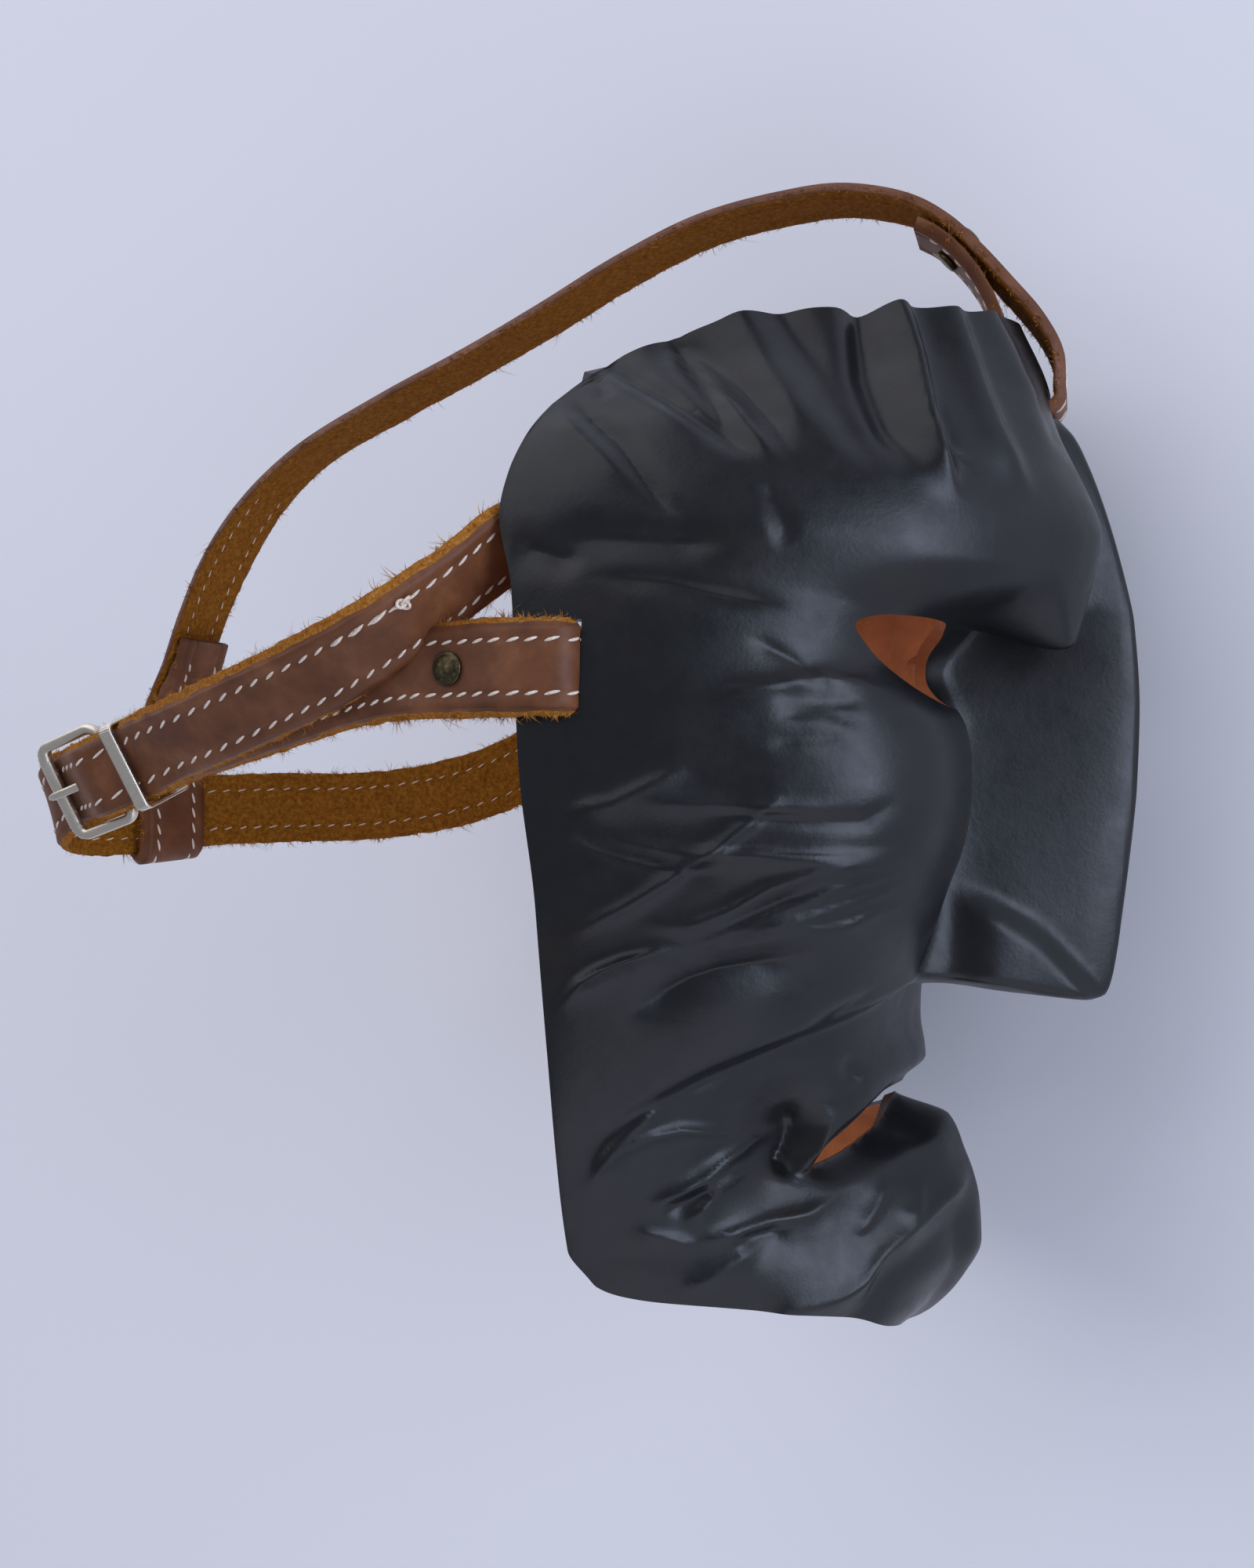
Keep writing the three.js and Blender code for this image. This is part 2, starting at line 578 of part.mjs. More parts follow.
const rearStations = [...slotFold(-1), ...rearRun, ...buckleRun, ...tailRun];

// Crown strap: through the forehead slot, over the crown, and down to a loop round the rear strap
const slotTurnAt = edgeAtSlot.clone().addScaledVector(wallNormal, -hideThick / 2)
  .addScaledVector(wallWay, -0.4);
const slotOut = wallNormal.clone();
const acrossHead = [0, 0, -1];
const insideSlot = { at: slotTurnAt.clone().addScaledVector(wallWay, 9)
  .addScaledVector(slotOut, -slotRadius), wide: new THREE.Vector3(...acrossHead), share: 1 };
const loopAt = rearRun[7].at.clone().lerp(rearRun[8].at, 0.5);
// The loop hangs a little askew on the rear strap
const loopWide = new THREE.Vector3(0.5, 0.08, -0.86).normalize();
const rearOut = new THREE.Vector3(loopWide.z, 0, -loopWide.x).normalize();
const loopHalf = strapWide / 2 + clearGap + 0.6 + strapThick / 2;
const onLoop = (up, out) => loopAt.clone().addScaledVector(upAxis, up).addScaledVector(rearOut, out);
const crownStations = [
  station([77.3, 140.3, 0], acrossHead),
  station([82.2, 137.3, 0], acrossHead),
  station([88.9, 130.7, 0], acrossHead),
  station([94.6, 121.6, 0], acrossHead),
  insideSlot,
  ...turnStations(slotTurnAt, slotOut.clone().negate(), wallWay.clone().negate(),
    new THREE.Vector3(...acrossHead), slotRadius, Math.PI, 6),
  station([111.6, 105.6, 0], acrossHead),
  station([107.2, 114.6, 0], acrossHead),
  station([99.8, 124.0, 0], acrossHead),
  station([91.8, 133.4, 0], acrossHead),
  station([84.6, 140.6, 0], acrossHead),
  station([74.9, 146.8, -0.5], acrossHead),
  station([58.4, 151.0, -1], acrossHead),
  station([41.9, 150.6, -2], acrossHead),
  station([20.7, 147.0, -3], acrossHead),
  station([-1, 138.6, -4], acrossHead),
  station([-23.5, 127.4, -5], acrossHead),
  station([-47, 116.9, -7], acrossHead),
  station([-71, 107.0, -9], [0.02, 0, -1]),
  station([-98, 94.4, -11.5], [0.04, 0.05, -1]),
  station([-114.8, 81.0, -13.5], [0.12, 0.05, -0.99]),
  station([-126.5, 66.0, -15.0], [0.2, 0.05, -0.98]),
  station([-135.4, 49.0, -16.0], [0.16, 0.05, -0.98]),
  station([-141.2, 34.0, -17.0], [0.2, 0.05, -0.98]),
];
const loopInner = 4.4;
const loopRadius = 4.3;
const onLoopStation = (up, out) => ({ at: onLoop(up, out), wide: loopWide.clone(), share: 1 });
const loopDown = [
  { at: onLoop(28, -1.7), wide: new THREE.Vector3(0.35, 0.06, -0.93), share: 1 },
  onLoopStation(15, 1.8),
  onLoopStation(4, 2 * loopRadius - loopInner - 0.1),
];
const loopTurn = turnStations(onLoop(-loopHalf + loopRadius, loopRadius - loopInner), rearOut,
  upAxis.clone().negate(), loopWide, loopRadius, Math.PI, 6);
// The free end lies on the strap's inner face, a little to one side
const flapGap = layerStep + 0.4;
const flapShift = 1.2;
const crownDown = strapFrames([...crownStations, ...loopDown], 400).filter((frame) => frame.at.x < -100);
const flap = [31, 42, 53].map((up) => {
  const level = loopAt.y + up;
  const beneath = crownDown.reduce((best, frame) => (
    Math.abs(frame.at.y - level) < Math.abs(best.at.y - level) ? frame : best));
  const at = beneath.at.clone().addScaledVector(beneath.face, -flapGap)
    .addScaledVector(beneath.wide, flapShift);
  return { at, wide: beneath.wide.clone(), share: 1 };
});
const crownLoop = [
  ...loopDown,
  ...loopTurn,
  onLoopStation(6, -loopInner),
  onLoopStation(15, -loopInner + 0.2),
  ...flap,
];

// Rivets: a domed head, a shank through both layers and a flat back cap
function rivetSolid(head, back) {
  const out = head.clone().sub(back).normalize();
  const length = head.distanceTo(back);
  const profile = [[0, -1.1], [rivetHead * 0.8, -1.1], [rivetHead * 0.85, 0], [rivetShank, 0],
    [rivetShank, length], [rivetHead, length], [rivetHead * 0.94, length + 0.8],
    [rivetHead * 0.6, length + 1.35], [0, length + 1.5]].map(([x, y]) => new THREE.Vector2(x, y));
  const turn = new THREE.Quaternion().setFromUnitVectors(upAxis, out);
  const matrix = new THREE.Matrix4().compose(back, turn, new THREE.Vector3(1, 1, 1));
  return solidOfGeometry(new THREE.LatheGeometry(profile, 10), matrix);
}

function seated(strap, { head, back }) {
  // The strap with a hole for the rivet's shank and room under its head and its cap
  const out = head.clone().sub(back).normalize();
  const turn = new THREE.Quaternion().setFromUnitVectors(upAxis, out);
  const disc = (radius, from, to) => {
    const at = back.clone().addScaledVector(out, (from + to) / 2);
    const matrix = new THREE.Matrix4().compose(at, turn, new THREE.Vector3(1, 1, 1));
    return solidOfGeometry(new THREE.CylinderGeometry(radius, radius, to - from, 12), matrix);
  };
  const long = head.distanceTo(back);
  return strap.subtract(disc(rivetShank + 0.4, -4, long + 4))
    .subtract(disc(rivetHead + 0.4, long - 0.25, long + 2.6))
    .subtract(disc(rivetHead + 0.2, -2.4, 0.25));
}

function nearestFrame(frames, place) {
  return frames.reduce((best, frame) => (frame.at.distanceTo(place) < best.at.distanceTo(place)
    ? frame : best));
}

function rivetThrough(frames, place, outward) {
  // Head and back of a rivet square to the layer nearest the given place
  const frame = nearestFrame(frames, place);
  const out = frame.face.clone().multiplyScalar(Math.sign(frame.face.dot(outward)) || 1);
  const head = frame.at.clone().addScaledVector(out, strapThick / 2 + 0.25);
  const back = frame.at.clone().addScaledVector(out, -strapThick * 1.5 - 1.15);
  return { head, back };
}

const strapSteps = { right: 44, rear: 66, crown: 60 };
const allCrown = [...crownStations, ...crownLoop];
const rightFrames = strapFrames(rightStations, 400);
const rearFrames = strapFrames(rearStations, 400);
const crownFrames = strapFrames(allCrown, 400);
const rivets = {
  right_rivet: rivetThrough(rightFrames, new THREE.Vector3(-15, slotHeight, 91), rightAxis),
  left_rivet: rivetThrough(rearFrames, new THREE.Vector3(-15, slotHeight, -91), rightAxis.clone().negate()),
  forehead_rivet: rivetThrough(crownFrames, new THREE.Vector3(88.6, 137, 0), upAxis),
  crown_rivet: rivetThrough(crownFrames, onLoop(22, -5), rearOut.clone().negate()),
};

const rearRoom = strapSolid(rearStations, strapSteps.rear, clearGap);
const rightRoom = strapSolid(rightStations, strapSteps.right, clearGap);
const crownRoom = strapSolid(allCrown, strapSteps.crown, clearGap);
let rightSolid = strapSolid(rightStations, strapSteps.right).subtract(rearRoom);
let rearSolid = strapSolid(rearStations, strapSteps.rear).subtract(crownRoom);
let crownSolid = strapSolid(allCrown, strapSteps.crown);
rightSolid = seated(rightSolid, rivets.right_rivet);
rearSolid = seated(rearSolid, rivets.left_rivet);
crownSolid = seated(seated(crownSolid, rivets.forehead_rivet), rivets.crown_rivet);

// Buckle
const frameWide = 28.4;
const frameOpen = 22.2;
const frontBarWide = 4.0;
const cornerRadius = 4.5;
const buckleAxes = [buckleWay, barWay, buckleOut];
const prongRadius = 1.1;
const prongRing = barThick / 2 * Math.SQRT2 + clearGap;

function roundedRect(left, right, half, radius) {
  const shape = new THREE.Shape();
  shape.moveTo(left + radius, -half);
  shape.lineTo(right - radius, -half);
  shape.absarc(right - radius, -half + radius, radius, -Math.PI / 2, 0, false);
  shape.lineTo(right, half - radius);
  shape.absarc(right - radius, half - radius, radius, 0, Math.PI / 2, false);
  shape.lineTo(left + radius, half);
  shape.absarc(left + radius, half - radius, radius, Math.PI / 2, Math.PI, false);
  shape.lineTo(left, -half + radius);
  shape.absarc(left + radius, -half + radius, radius, Math.PI, Math.PI * 1.5, false);
  return shape;
}

function buckleFrameSolid() {
  const outline = roundedRect(-frontBarWide / 2, barGap + barThick / 2, frameWide / 2, cornerRadius);
  const opening = roundedRect(frontBarWide / 2, barGap - barThick / 2, frameOpen / 2, 1.2);
  outline.holes.push(new THREE.Path(opening.getPoints(3)));
  const depth = { depth: barThick, bevelEnabled: false, curveSegments: 4 };
  const geometry = new THREE.ExtrudeGeometry(outline, depth);
  geometry.translate(0, 0, -barThick / 2);
  const matrix = new THREE.Matrix4().makeBasis(...buckleAxes).setPosition(frontBar);
  return solidOfGeometry(geometry, matrix);
}

function prongSolid() {
  const ring = new THREE.Shape();
  ring.absarc(0, 0, prongRing + 1.15, 0, Math.PI * 2, false);
  const bore = new THREE.Path();
  bore.absarc(0, 0, prongRing, 0, Math.PI * 2, true);
  ring.holes.push(bore);
  const depth = { depth: 2.6, bevelEnabled: false, curveSegments: 10 };
  const ringGeometry = new THREE.ExtrudeGeometry(ring, depth);
  ringGeometry.translate(0, 0, -1.3);
  const ringAxes = new THREE.Matrix4().makeBasis(buckleWay, buckleOut, barWay.clone().negate())
    .setPosition(heelBar);
  const ringSolid = solidOfGeometry(ringGeometry, ringAxes);
  const from = onBuckle(barGap - 1.2, prongRing + 0.75);
  const to = onBuckle(-3.2, barThick / 2 + clearGap + prongRadius);
  const way = to.clone().sub(from);
  const turn = new THREE.Quaternion().setFromUnitVectors(upAxis, way.clone().normalize());
  const matrix = new THREE.Matrix4().compose(from.clone().lerp(to, 0.5), turn, new THREE.Vector3(1, 1, 1));
  const rod = new THREE.CylinderGeometry(prongRadius * 0.8, prongRadius, way.length(), 10);
  return ringSolid.add(solidOfGeometry(rod, matrix));
}

rightSolid = rightSolid.subtract(block([17, 4.2, 22], onBuckle(barGap - 0.5, 0), buckleAxes));
rearSolid = rearSolid.subtract(block([13.5, 3.6, 20], onBuckle(barGap / 2 + 2.2, 3), buckleAxes));

// Keeper: a metal band round the chape and the tail
const keeperAlong = 4.6;
const keeperWall = 1.0;
const foldRoom = 1.0;
const tailRoom = 0.9;
const keeperFrame = nearestFrame(rightFrames, onBuckle(barGap + 13.6, layerStep / 2));
const keeperAxes = [keeperFrame.along, keeperFrame.wide, keeperFrame.along.clone().cross(keeperFrame.wide)];

function keeperSolid() {
  const half = strapWide / 2 + clearGap + 0.6;
  const deep = layerStep + strapThick / 2 + 1.1;
  const outside = -deep - tailRoom;
  const inside = deep + foldRoom;
  const outer = roundedRect(outside - keeperWall, inside + keeperWall, half + keeperWall, 1.8);
  outer.holes.push(new THREE.Path(roundedRect(outside, inside, half, 0.8).getPoints(3)));
  const depth = { depth: keeperAlong, bevelEnabled: false, curveSegments: 3 };
  const geometry = new THREE.ExtrudeGeometry(outer, depth);
  geometry.translate(0, 0, -keeperAlong / 2);
  const matrix = new THREE.Matrix4()
    .makeBasis(keeperAxes[2], keeperAxes[1], keeperAxes[0].clone().negate()).setPosition(keeperFrame.at);
  return solidOfGeometry(geometry, matrix);
}

// Materials
const blackHide = { color: 0x17181a, roughness: 0.42, metalness: 0 };
const brownStrap = { color: 0x5c3a2a, roughness: 0.6, metalness: 0 };
const nickel = { color: 0xc9c4b4, roughness: 0.28, metalness: 1 };
const bronze = { color: 0x4a4638, roughness: 0.4, metalness: 1 };

const layTurn = new THREE.Euler(THREE.MathUtils.degToRad(layRoll), THREE.MathUtils.degToRad(layYaw), 0);
const layMatrix = new THREE.Matrix4().makeRotationFromEuler(layTurn);
const pieces = [
  ['mask_shell', shellSolid().subtract(rightRoom).subtract(rearRoom).subtract(crownRoom), blackHide],
  ['right_strap', rightSolid, brownStrap],
  ['rear_strap', rearSolid, brownStrap],
  ['crown_strap', crownSolid, brownStrap],
  ['buckle_frame', buckleFrameSolid(), nickel],
  ['buckle_prong', prongSolid(), nickel],
  ['keeper', keeperSolid(), nickel],
  ...Object.entries(rivets).map(([name, rivet]) => [name, rivetSolid(rivet.head, rivet.back), bronze]),
];

// Laid down: small flats are worn where it touches, its lowest point is at z = 0, and the centre
// of its footprint is at the origin
const reachOf = (list) => {
  const reach = new THREE.Box3();
  list.forEach(([, solid]) => {
    const position = geometryOf(solid).getAttribute('position');
    for (let i = 0; i < position.count; i += 1) {
      reach.expandByPoint(new THREE.Vector3().fromBufferAttribute(position, i).applyMatrix4(layMatrix));
    }
  });
  return reach;
};
const floorLevel = reachOf(pieces).min.z + flatDepth;
const layBack = layMatrix.clone().invert();
const floorAxes = plainAxes.map((axis) => axis.clone().applyMatrix4(layBack));
const floorBlock = block([400, 400, 20], floorAxes[2].clone().multiplyScalar(floorLevel - 10), floorAxes);
const resting = pieces.map(([name, solid, look]) => [name, solid.subtract(floorBlock), look]);
const reach = reachOf(resting);
const middle = reach.getCenter(new THREE.Vector3());

const mask = new THREE.Group();
resting.forEach(([name, solid, look]) => {
  const mesh = new THREE.Mesh(geometryOf(solid), new THREE.MeshStandardMaterial(look));
  mesh.name = name;
  mask.add(mesh);
});
mask.rotation.copy(layTurn);
mask.position.set(-middle.x, -middle.y, -reach.min.z);

const part = new THREE.Group();
part.add(mask);
export default part;
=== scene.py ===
import bpy
import numpy as np
from mathutils import Matrix


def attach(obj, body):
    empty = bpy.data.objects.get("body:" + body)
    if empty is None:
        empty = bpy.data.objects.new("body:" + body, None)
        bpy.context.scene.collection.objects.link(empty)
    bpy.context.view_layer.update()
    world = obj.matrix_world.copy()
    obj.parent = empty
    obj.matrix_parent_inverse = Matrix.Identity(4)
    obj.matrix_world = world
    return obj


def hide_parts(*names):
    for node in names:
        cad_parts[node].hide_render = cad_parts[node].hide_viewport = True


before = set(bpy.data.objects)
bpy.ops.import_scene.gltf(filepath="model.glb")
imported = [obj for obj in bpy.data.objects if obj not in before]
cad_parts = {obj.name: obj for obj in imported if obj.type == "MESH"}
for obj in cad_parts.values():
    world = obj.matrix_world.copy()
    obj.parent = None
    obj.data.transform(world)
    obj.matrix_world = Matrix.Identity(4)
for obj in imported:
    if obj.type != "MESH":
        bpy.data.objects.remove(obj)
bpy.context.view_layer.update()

# How the mask lies and from where it is seen. Shapes are worked out in millimetres in the mask's
# own frame: forward to the nose, up to the forehead, and right, to the wearer's right. The camera
# looks along the mask's side from VIEW_DISTANCE, turned VIEW_FORWARD towards the front.
LAY_YAW = np.radians(22.0)
LAY_ROLL = np.radians(-3.5)
LAY_SHIFT = np.array([13.082, -7.904, 96.160])


def turned(points):
    """Turned about the upright axis by the yaw, then about the forward axis by the roll."""
    points = np.asarray(points, float)
    cos_yaw, sin_yaw = np.cos(LAY_YAW), np.sin(LAY_YAW)
    cos_roll, sin_roll = np.cos(LAY_ROLL), np.sin(LAY_ROLL)
    yaw = np.array([[cos_yaw, 0, sin_yaw], [0, 1, 0], [-sin_yaw, 0, cos_yaw]])
    roll = np.array([[1, 0, 0], [0, cos_roll, -sin_roll], [0, sin_roll, cos_roll]])
    return points @ (roll @ yaw).T


def laid(points):
    """The mask's frame in millimetres to the floor's frame in metres: turned, then shifted."""
    return (turned(points) + LAY_SHIFT) / 1000.0


VIEW_DISTANCE = 450.0
VIEW_FORWARD = np.radians(15.0)
LENS_MM = 38.7
view_back = np.array([np.sin(VIEW_FORWARD), 0, np.cos(VIEW_FORWARD)])
view_right = np.array([np.cos(VIEW_FORWARD), 0, -np.sin(VIEW_FORWARD)])
camera_data = bpy.data.cameras.new("studio_camera")
camera_data.lens = LENS_MM
camera_data.sensor_width = 36.0
camera_data.clip_start = 0.02
camera_data.clip_end = 50.0
camera = bpy.data.objects.new("studio_camera", camera_data)
bpy.context.scene.collection.objects.link(camera)
camera_axes = np.eye(4)
camera_axes[:3] = np.stack([turned(view_right), turned([0, 1, 0]), turned(view_back),
                            laid(view_back * VIEW_DISTANCE)], axis=1)
camera.matrix_world = Matrix(camera_axes.tolist())
bpy.context.scene.camera = camera


# The face: one 3 mm hide, soaked and pressed over a carved form, then dyed black and waxed.
# The base form is a rounded arch from rim to rim at each height; the cheeks, brow, nose and lips
# are pushed out of it, and the hide's folds and wrinkles are pressed on top of that.
HIDE_THICK = 3.0
TOP_HEIGHT = 115.0
CHIN_HEIGHT = -134.5
COLUMNS = 190
ROWS = 255
HALF_WIDTH = [[-140, 50], [-125, 64], [-112, 70], [-92, 77], [-57, 85], [-27, 90], [0, 92], [42, 89],
              [60, 84], [78, 76], [88, 68], [100, 58], [118, 50]]
RIM_FORWARD = [[-140, 16], [-125, 12], [-112, 8.9], [-105, 5.7], [-57, 4.6], [-27, 3.7], [2, 0.7],
               [42, -2.1], [60, -5.8], [68, -4.9], [78, -2.3], [88, 2.5], [100, 12], [118, 22]]
FRONT_FORWARD = [[-140, 64], [-136, 74.5], [-132, 81.5], [-124, 88.5], [-115, 92.8], [-105, 92.3],
                 [-98, 90.8], [-90, 87.4], [-76, 79.6], [-60, 77.3], [-45, 78], [-30, 84], [-10, 90],
                 [15, 92], [28, 90], [50, 101], [62, 107], [80, 111], [95, 110], [116, 102]]
FRONT_FLAT = [[-140, 24], [-112, 14], [-85, 6], [-60, 6], [0, 12], [60, 8], [116, 4]]
ARCH_SQUARENESS = [[-140, 1.5], [-120, 1.4], [-95, 1.32], [-75, 1.45], [-55, 1.85], [-30, 2.4],
                   [0, 2.5], [30, 2.4], [60, 2.25], [116, 2.0]]
TOP_EDGE = [[0, 115], [0.2, 112.7], [0.4, 111], [0.6, 110.5], [0.8, 109], [0.88, 106], [0.94, 103],
            [0.98, 99], [0.99, 95], [1.0, 86]]
CHIN_EDGE = [[0, -134], [0.15, -133.2], [0.27, -129.9], [0.4, -125.4], [0.55, -121.8], [0.7, -118.9],
             [0.85, -116.6], [0.95, -113.5], [1.0, -104.5]]
RIDGE_FORWARD = [[-48.8, 77], [-47.5, 86], [-45.5, 110], [-44.5, 119], [-42.5, 123], [-37, 125],
                 [-27, 127], [-12, 129.2], [0, 130.3], [19, 130.9], [39, 129.7], [54, 126.6],
                 [82, 117.5], [96, 109]]
RIDGE_HALF = [[-48, 8], [0, 6.5], [54, 5.5], [95, 2]]
NOSE_FOOT = [[-48, 31], [-30, 27], [0, 21], [30, 17], [54, 14], [75, 10], [95, 5]]
NOSTRIL_LINE = [[86, -20], [94, -24], [108, -30], [122, -40], [127, -46]]
BROW_OUT = [[0, 0], [9, 5], [15, 15.5], [22, 20], [30, 18.5], [42, 14], [55, 10.5], [70, 7],
            [82, 3.5], [88, 1]]
BROW_FOOT = [[0, 40], [14, 39], [22, 37.5], [32, 36], [45, 34.5], [60, 36.5], [72, 40], [82, 43.5],
             [92, 46]]
CHEEK_FOLD = [[14, -76.5], [26, -69.8], [36, -65.3], [49, -59.9], [58, -56.3], [70, -50.9], [84, -42],
              [95, -30]]
# How far each broad form stands out of the arch, or is sunk into it
CHEEK_OVERHANG = 5.0
CHEEKBONE_RISE = 5.5
TEMPLE_HOLLOW = 2.0
SOCKET_DEPTH = 8.0
NOSE_VALLEY = 4.5
LIP_CORNER_HOLLOW = 5.0
LIP_SWELL = 2.5
JAW_LEDGE = 2.0
JAW_HOLLOW = 2.6
NOSTRIL_WING = 4.0
NOSE_DROOP = 9.0
NOSE_REACH = 47.0
NOSE_UNDERSIDE = -48.8
# The mouth: the upper lip's edge sags to the corners, and the lower lip rolls out below the gap
MOUTH_CORNER = 44.5
MOUTH_MIDDLE = -75.5
MOUTH_DROP = 15.0
MOUTH_GAPE = 7.4
# The chin's ridge: its height at each forward place of the arch
CHIN_RIDGE = [[48, -121.5], [53, -120.8], [62, -119], [68, -115.5], [72, -109.8], [79, -104.7],
              [86, -100], [95, -96]]
# Pleats of the forehead: [forward, height] points, rise, width above and width below
PLEATS = [
    ([[18, 114], [28, 101], [45, 83], [52, 70]], -1.5, 5.5, 5.5),
    ([[33, 120], [42, 106], [52, 90], [58, 76]], 1.4, 3.5, 4.0),
    ([[44, 120], [52, 106], [60, 92], [67, 76], [71, 66]], -1.6, 4.0, 3.5),
    ([[67, 124], [69, 110], [71, 92], [75, 77], [79, 68]], -4.4, 5.0, 4.0),
    ([[70, 127], [74, 113], [79, 97], [82, 78], [83, 60]], 3.4, 2.4, 4.6),
    ([[84, 122], [88, 110], [92, 98], [95, 86], [97, 76], [97, 62]], 1.8, 1.9, 4.0),
    ([[92, 124], [96, 112], [100, 104], [104, 93], [105, 74]], 1.3, 1.6, 3.0),
]
# Sharp wrinkles pressed into the hide: points, rise, width above and width below
WRINKLES = [
    ([[75, 122], [77, 111], [79, 101], [81, 90], [82, 76], [83, 62]], 1.1, 1.3, 1.9),
    ([[84, 88], [86, 74], [90, 68]], -0.6, 1.3, 1.3),
    ([[22, 110], [29, 102], [37, 96], [45, 88], [51, 80], [54, 67]], -1.4, 1.8, 2.4),
    ([[35, 92], [43, 83], [48, 75], [50, 69]], 1.1, 1.3, 1.3),
    ([[20, 108], [27, 100], [35, 90], [40, 81], [43, 75], [44, 69]], -1.4, 1.4, 1.6),
    ([[7, 99], [12, 96], [26, 87], [37, 79], [43, 74], [50, 69]], -1.7, 1.5, 1.7),
    ([[4, 97], [9, 94], [20, 88], [32, 80], [39, 74]], 1.2, 1.5, 2.4),
    ([[5, 88], [13, 80], [19, 75], [24, 68], [29, 61], [36, 55]], -1.7, 1.3, 1.5),
    ([[2, 86], [11, 77], [18, 70], [24, 63]], 1.0, 1.4, 2.4),
    ([[48, 66], [51, 58], [54, 50]], -0.7, 1.1, 1.2),
    ([[46, 64], [49, 56], [52, 49]], 0.3, 1.2, 1.6),
    ([[-3, 53], [6, 50], [14, 47]], -1.1, 1.5, 2.0),
    ([[13, 45], [32, 43], [40, 41], [49, 39], [58, 37]], -0.8, 1.4, 2.0),
    ([[7, 92], [11, 92], [15, 86]], -0.9, 1.1, 1.1),
    ([[4, 54], [21, 53], [36, 52], [46, 52]], -1.5, 4.0, 3.0),
    ([[48, 32], [57, 27], [62, 23], [66, 20]], -0.45, 1.1, 1.1),
    ([[40, 17], [47, 20], [54, 21], [62, 23], [70, 22], [77, 20]], 0.8, 1.2, 1.4),
    ([[53, 18], [63, 18], [72, 17]], -0.6, 1.2, 1.2),
    ([[53, 14], [63, 16], [72, 12]], -0.35, 1.2, 1.2),
    ([[52, 8], [60, 10], [68, 10]], -0.35, 1.1, 1.1),
    ([[9, -6], [21, -4], [29, 0], [39, 4]], 0.9, 1.4, 3.0),
    ([[60, 0], [55, -3], [50, -8], [41, -15], [32, -21], [24, -26], [14, -31], [7, -33]], 1.1, 1.2, 1.6),
    ([[24, -4], [33, -4], [42, -4], [51, -5], [62, -5], [68, -5]], 0.7, 1.1, 1.7),
    ([[39, -6], [50, -7], [61, -8], [70, -8], [77, -2]], -0.8, 1.2, 1.2),
    ([[15, -8], [22, -12], [32, -14], [41, -15], [50, -15], [58, -16], [69, -16], [81, -14]], 1.0, 1.1, 1.8),
    ([[11, -10], [17, -14], [24, -16], [32, -18], [45, -19]], -0.9, 1.2, 1.4),
    ([[25, -30], [37, -30], [45, -27], [53, -22], [61, -19], [69, -18], [81, -16]], 1.0, 1.1, 1.7),
    ([[40, -33], [48, -29], [56, -25], [63, -23]], -1.0, 1.2, 1.4),
    ([[33, -36], [40, -34], [47, -30], [55, -27], [64, -23], [74, -20], [80, -18]], 0.9, 1.1, 1.5),
    ([[44, -33], [55, -30], [62, -28], [72, -24], [79, -20]], 0.8, 1.1, 1.5),
    ([[40, -36], [49, -34], [58, -32], [66, -31], [71, -28], [79, -26]], 0.9, 1.2, 2.2),
    ([[6, -50], [13, -43], [22, -38], [31, -36]], 0.9, 1.1, 1.6),
    ([[9, -45], [17, -40], [28, -36], [38, -35]], 0.9, 1.1, 1.6),
    ([[21, -51], [29, -46], [36, -42], [42, -40], [54, -38], [63, -35]], -1.8, 3.0, 3.0),
    ([[25, -70], [32, -67], [40, -63], [48, -60], [56, -57], [60, -53], [65, -49], [70, -44]],
     -1.8, 1.2, 2.2),
    ([[10, -92], [13, -87], [18, -81], [25, -78], [31, -77], [41, -79], [45, -77]], 1.0, 1.1, 1.7),
    ([[12, -87], [17, -80], [24, -74], [29, -70]], 0.9, 1.1, 1.8),
    ([[23, -97], [25, -94], [29, -92], [35, -89], [40, -85], [46, -82], [53, -81]], 1.3, 1.2, 1.5),
    ([[26, -96], [32, -94], [38, -91]], -1.0, 1.3, 1.6),
    ([[31, -100], [35, -95], [38, -91], [42, -89], [46, -88]], 1.0, 1.1, 1.5),
    ([[30, -104], [40, -102], [48, -100], [56, -99], [65, -95]], 1.0, 1.1, 2.2),
    ([[41, -104], [47, -103], [53, -102]], -0.9, 1.2, 1.4),
    ([[19, -100], [27, -102], [34, -105]], 0.7, 1.1, 1.6),
    ([[28, -115], [35, -112], [43, -107], [48, -104]], 0.8, 1.1, 2.0),
    ([[53, -73], [55, -80], [54, -86], [52, -93]], -2.4, 2.2, 2.4),
    ([[57, -72], [60, -79], [59, -85], [56, -92]], 1.2, 1.8, 2.0),
    ([[64, -63], [64, -68], [66, -70]], -1.0, 1.3, 1.3),
    ([[74, -93], [71, -99], [66, -106]], 0.8, 1.1, 1.7),
    ([[81, -94], [79, -101], [76, -105]], 0.9, 1.1, 1.7),
]


# Pleats are rounded. Wrinkles are sharp on their crests, and higher and wider than their lines say
PLEAT_POWER = 2
PLEAT_TAPER = 0.22
WRINKLE_POWER = 1.2
WRINKLE_TAPER = 0.3
WRINKLE_RISE = 1.75
WRINKLE_ABOVE = 1.1
WRINKLE_BELOW = 1.3


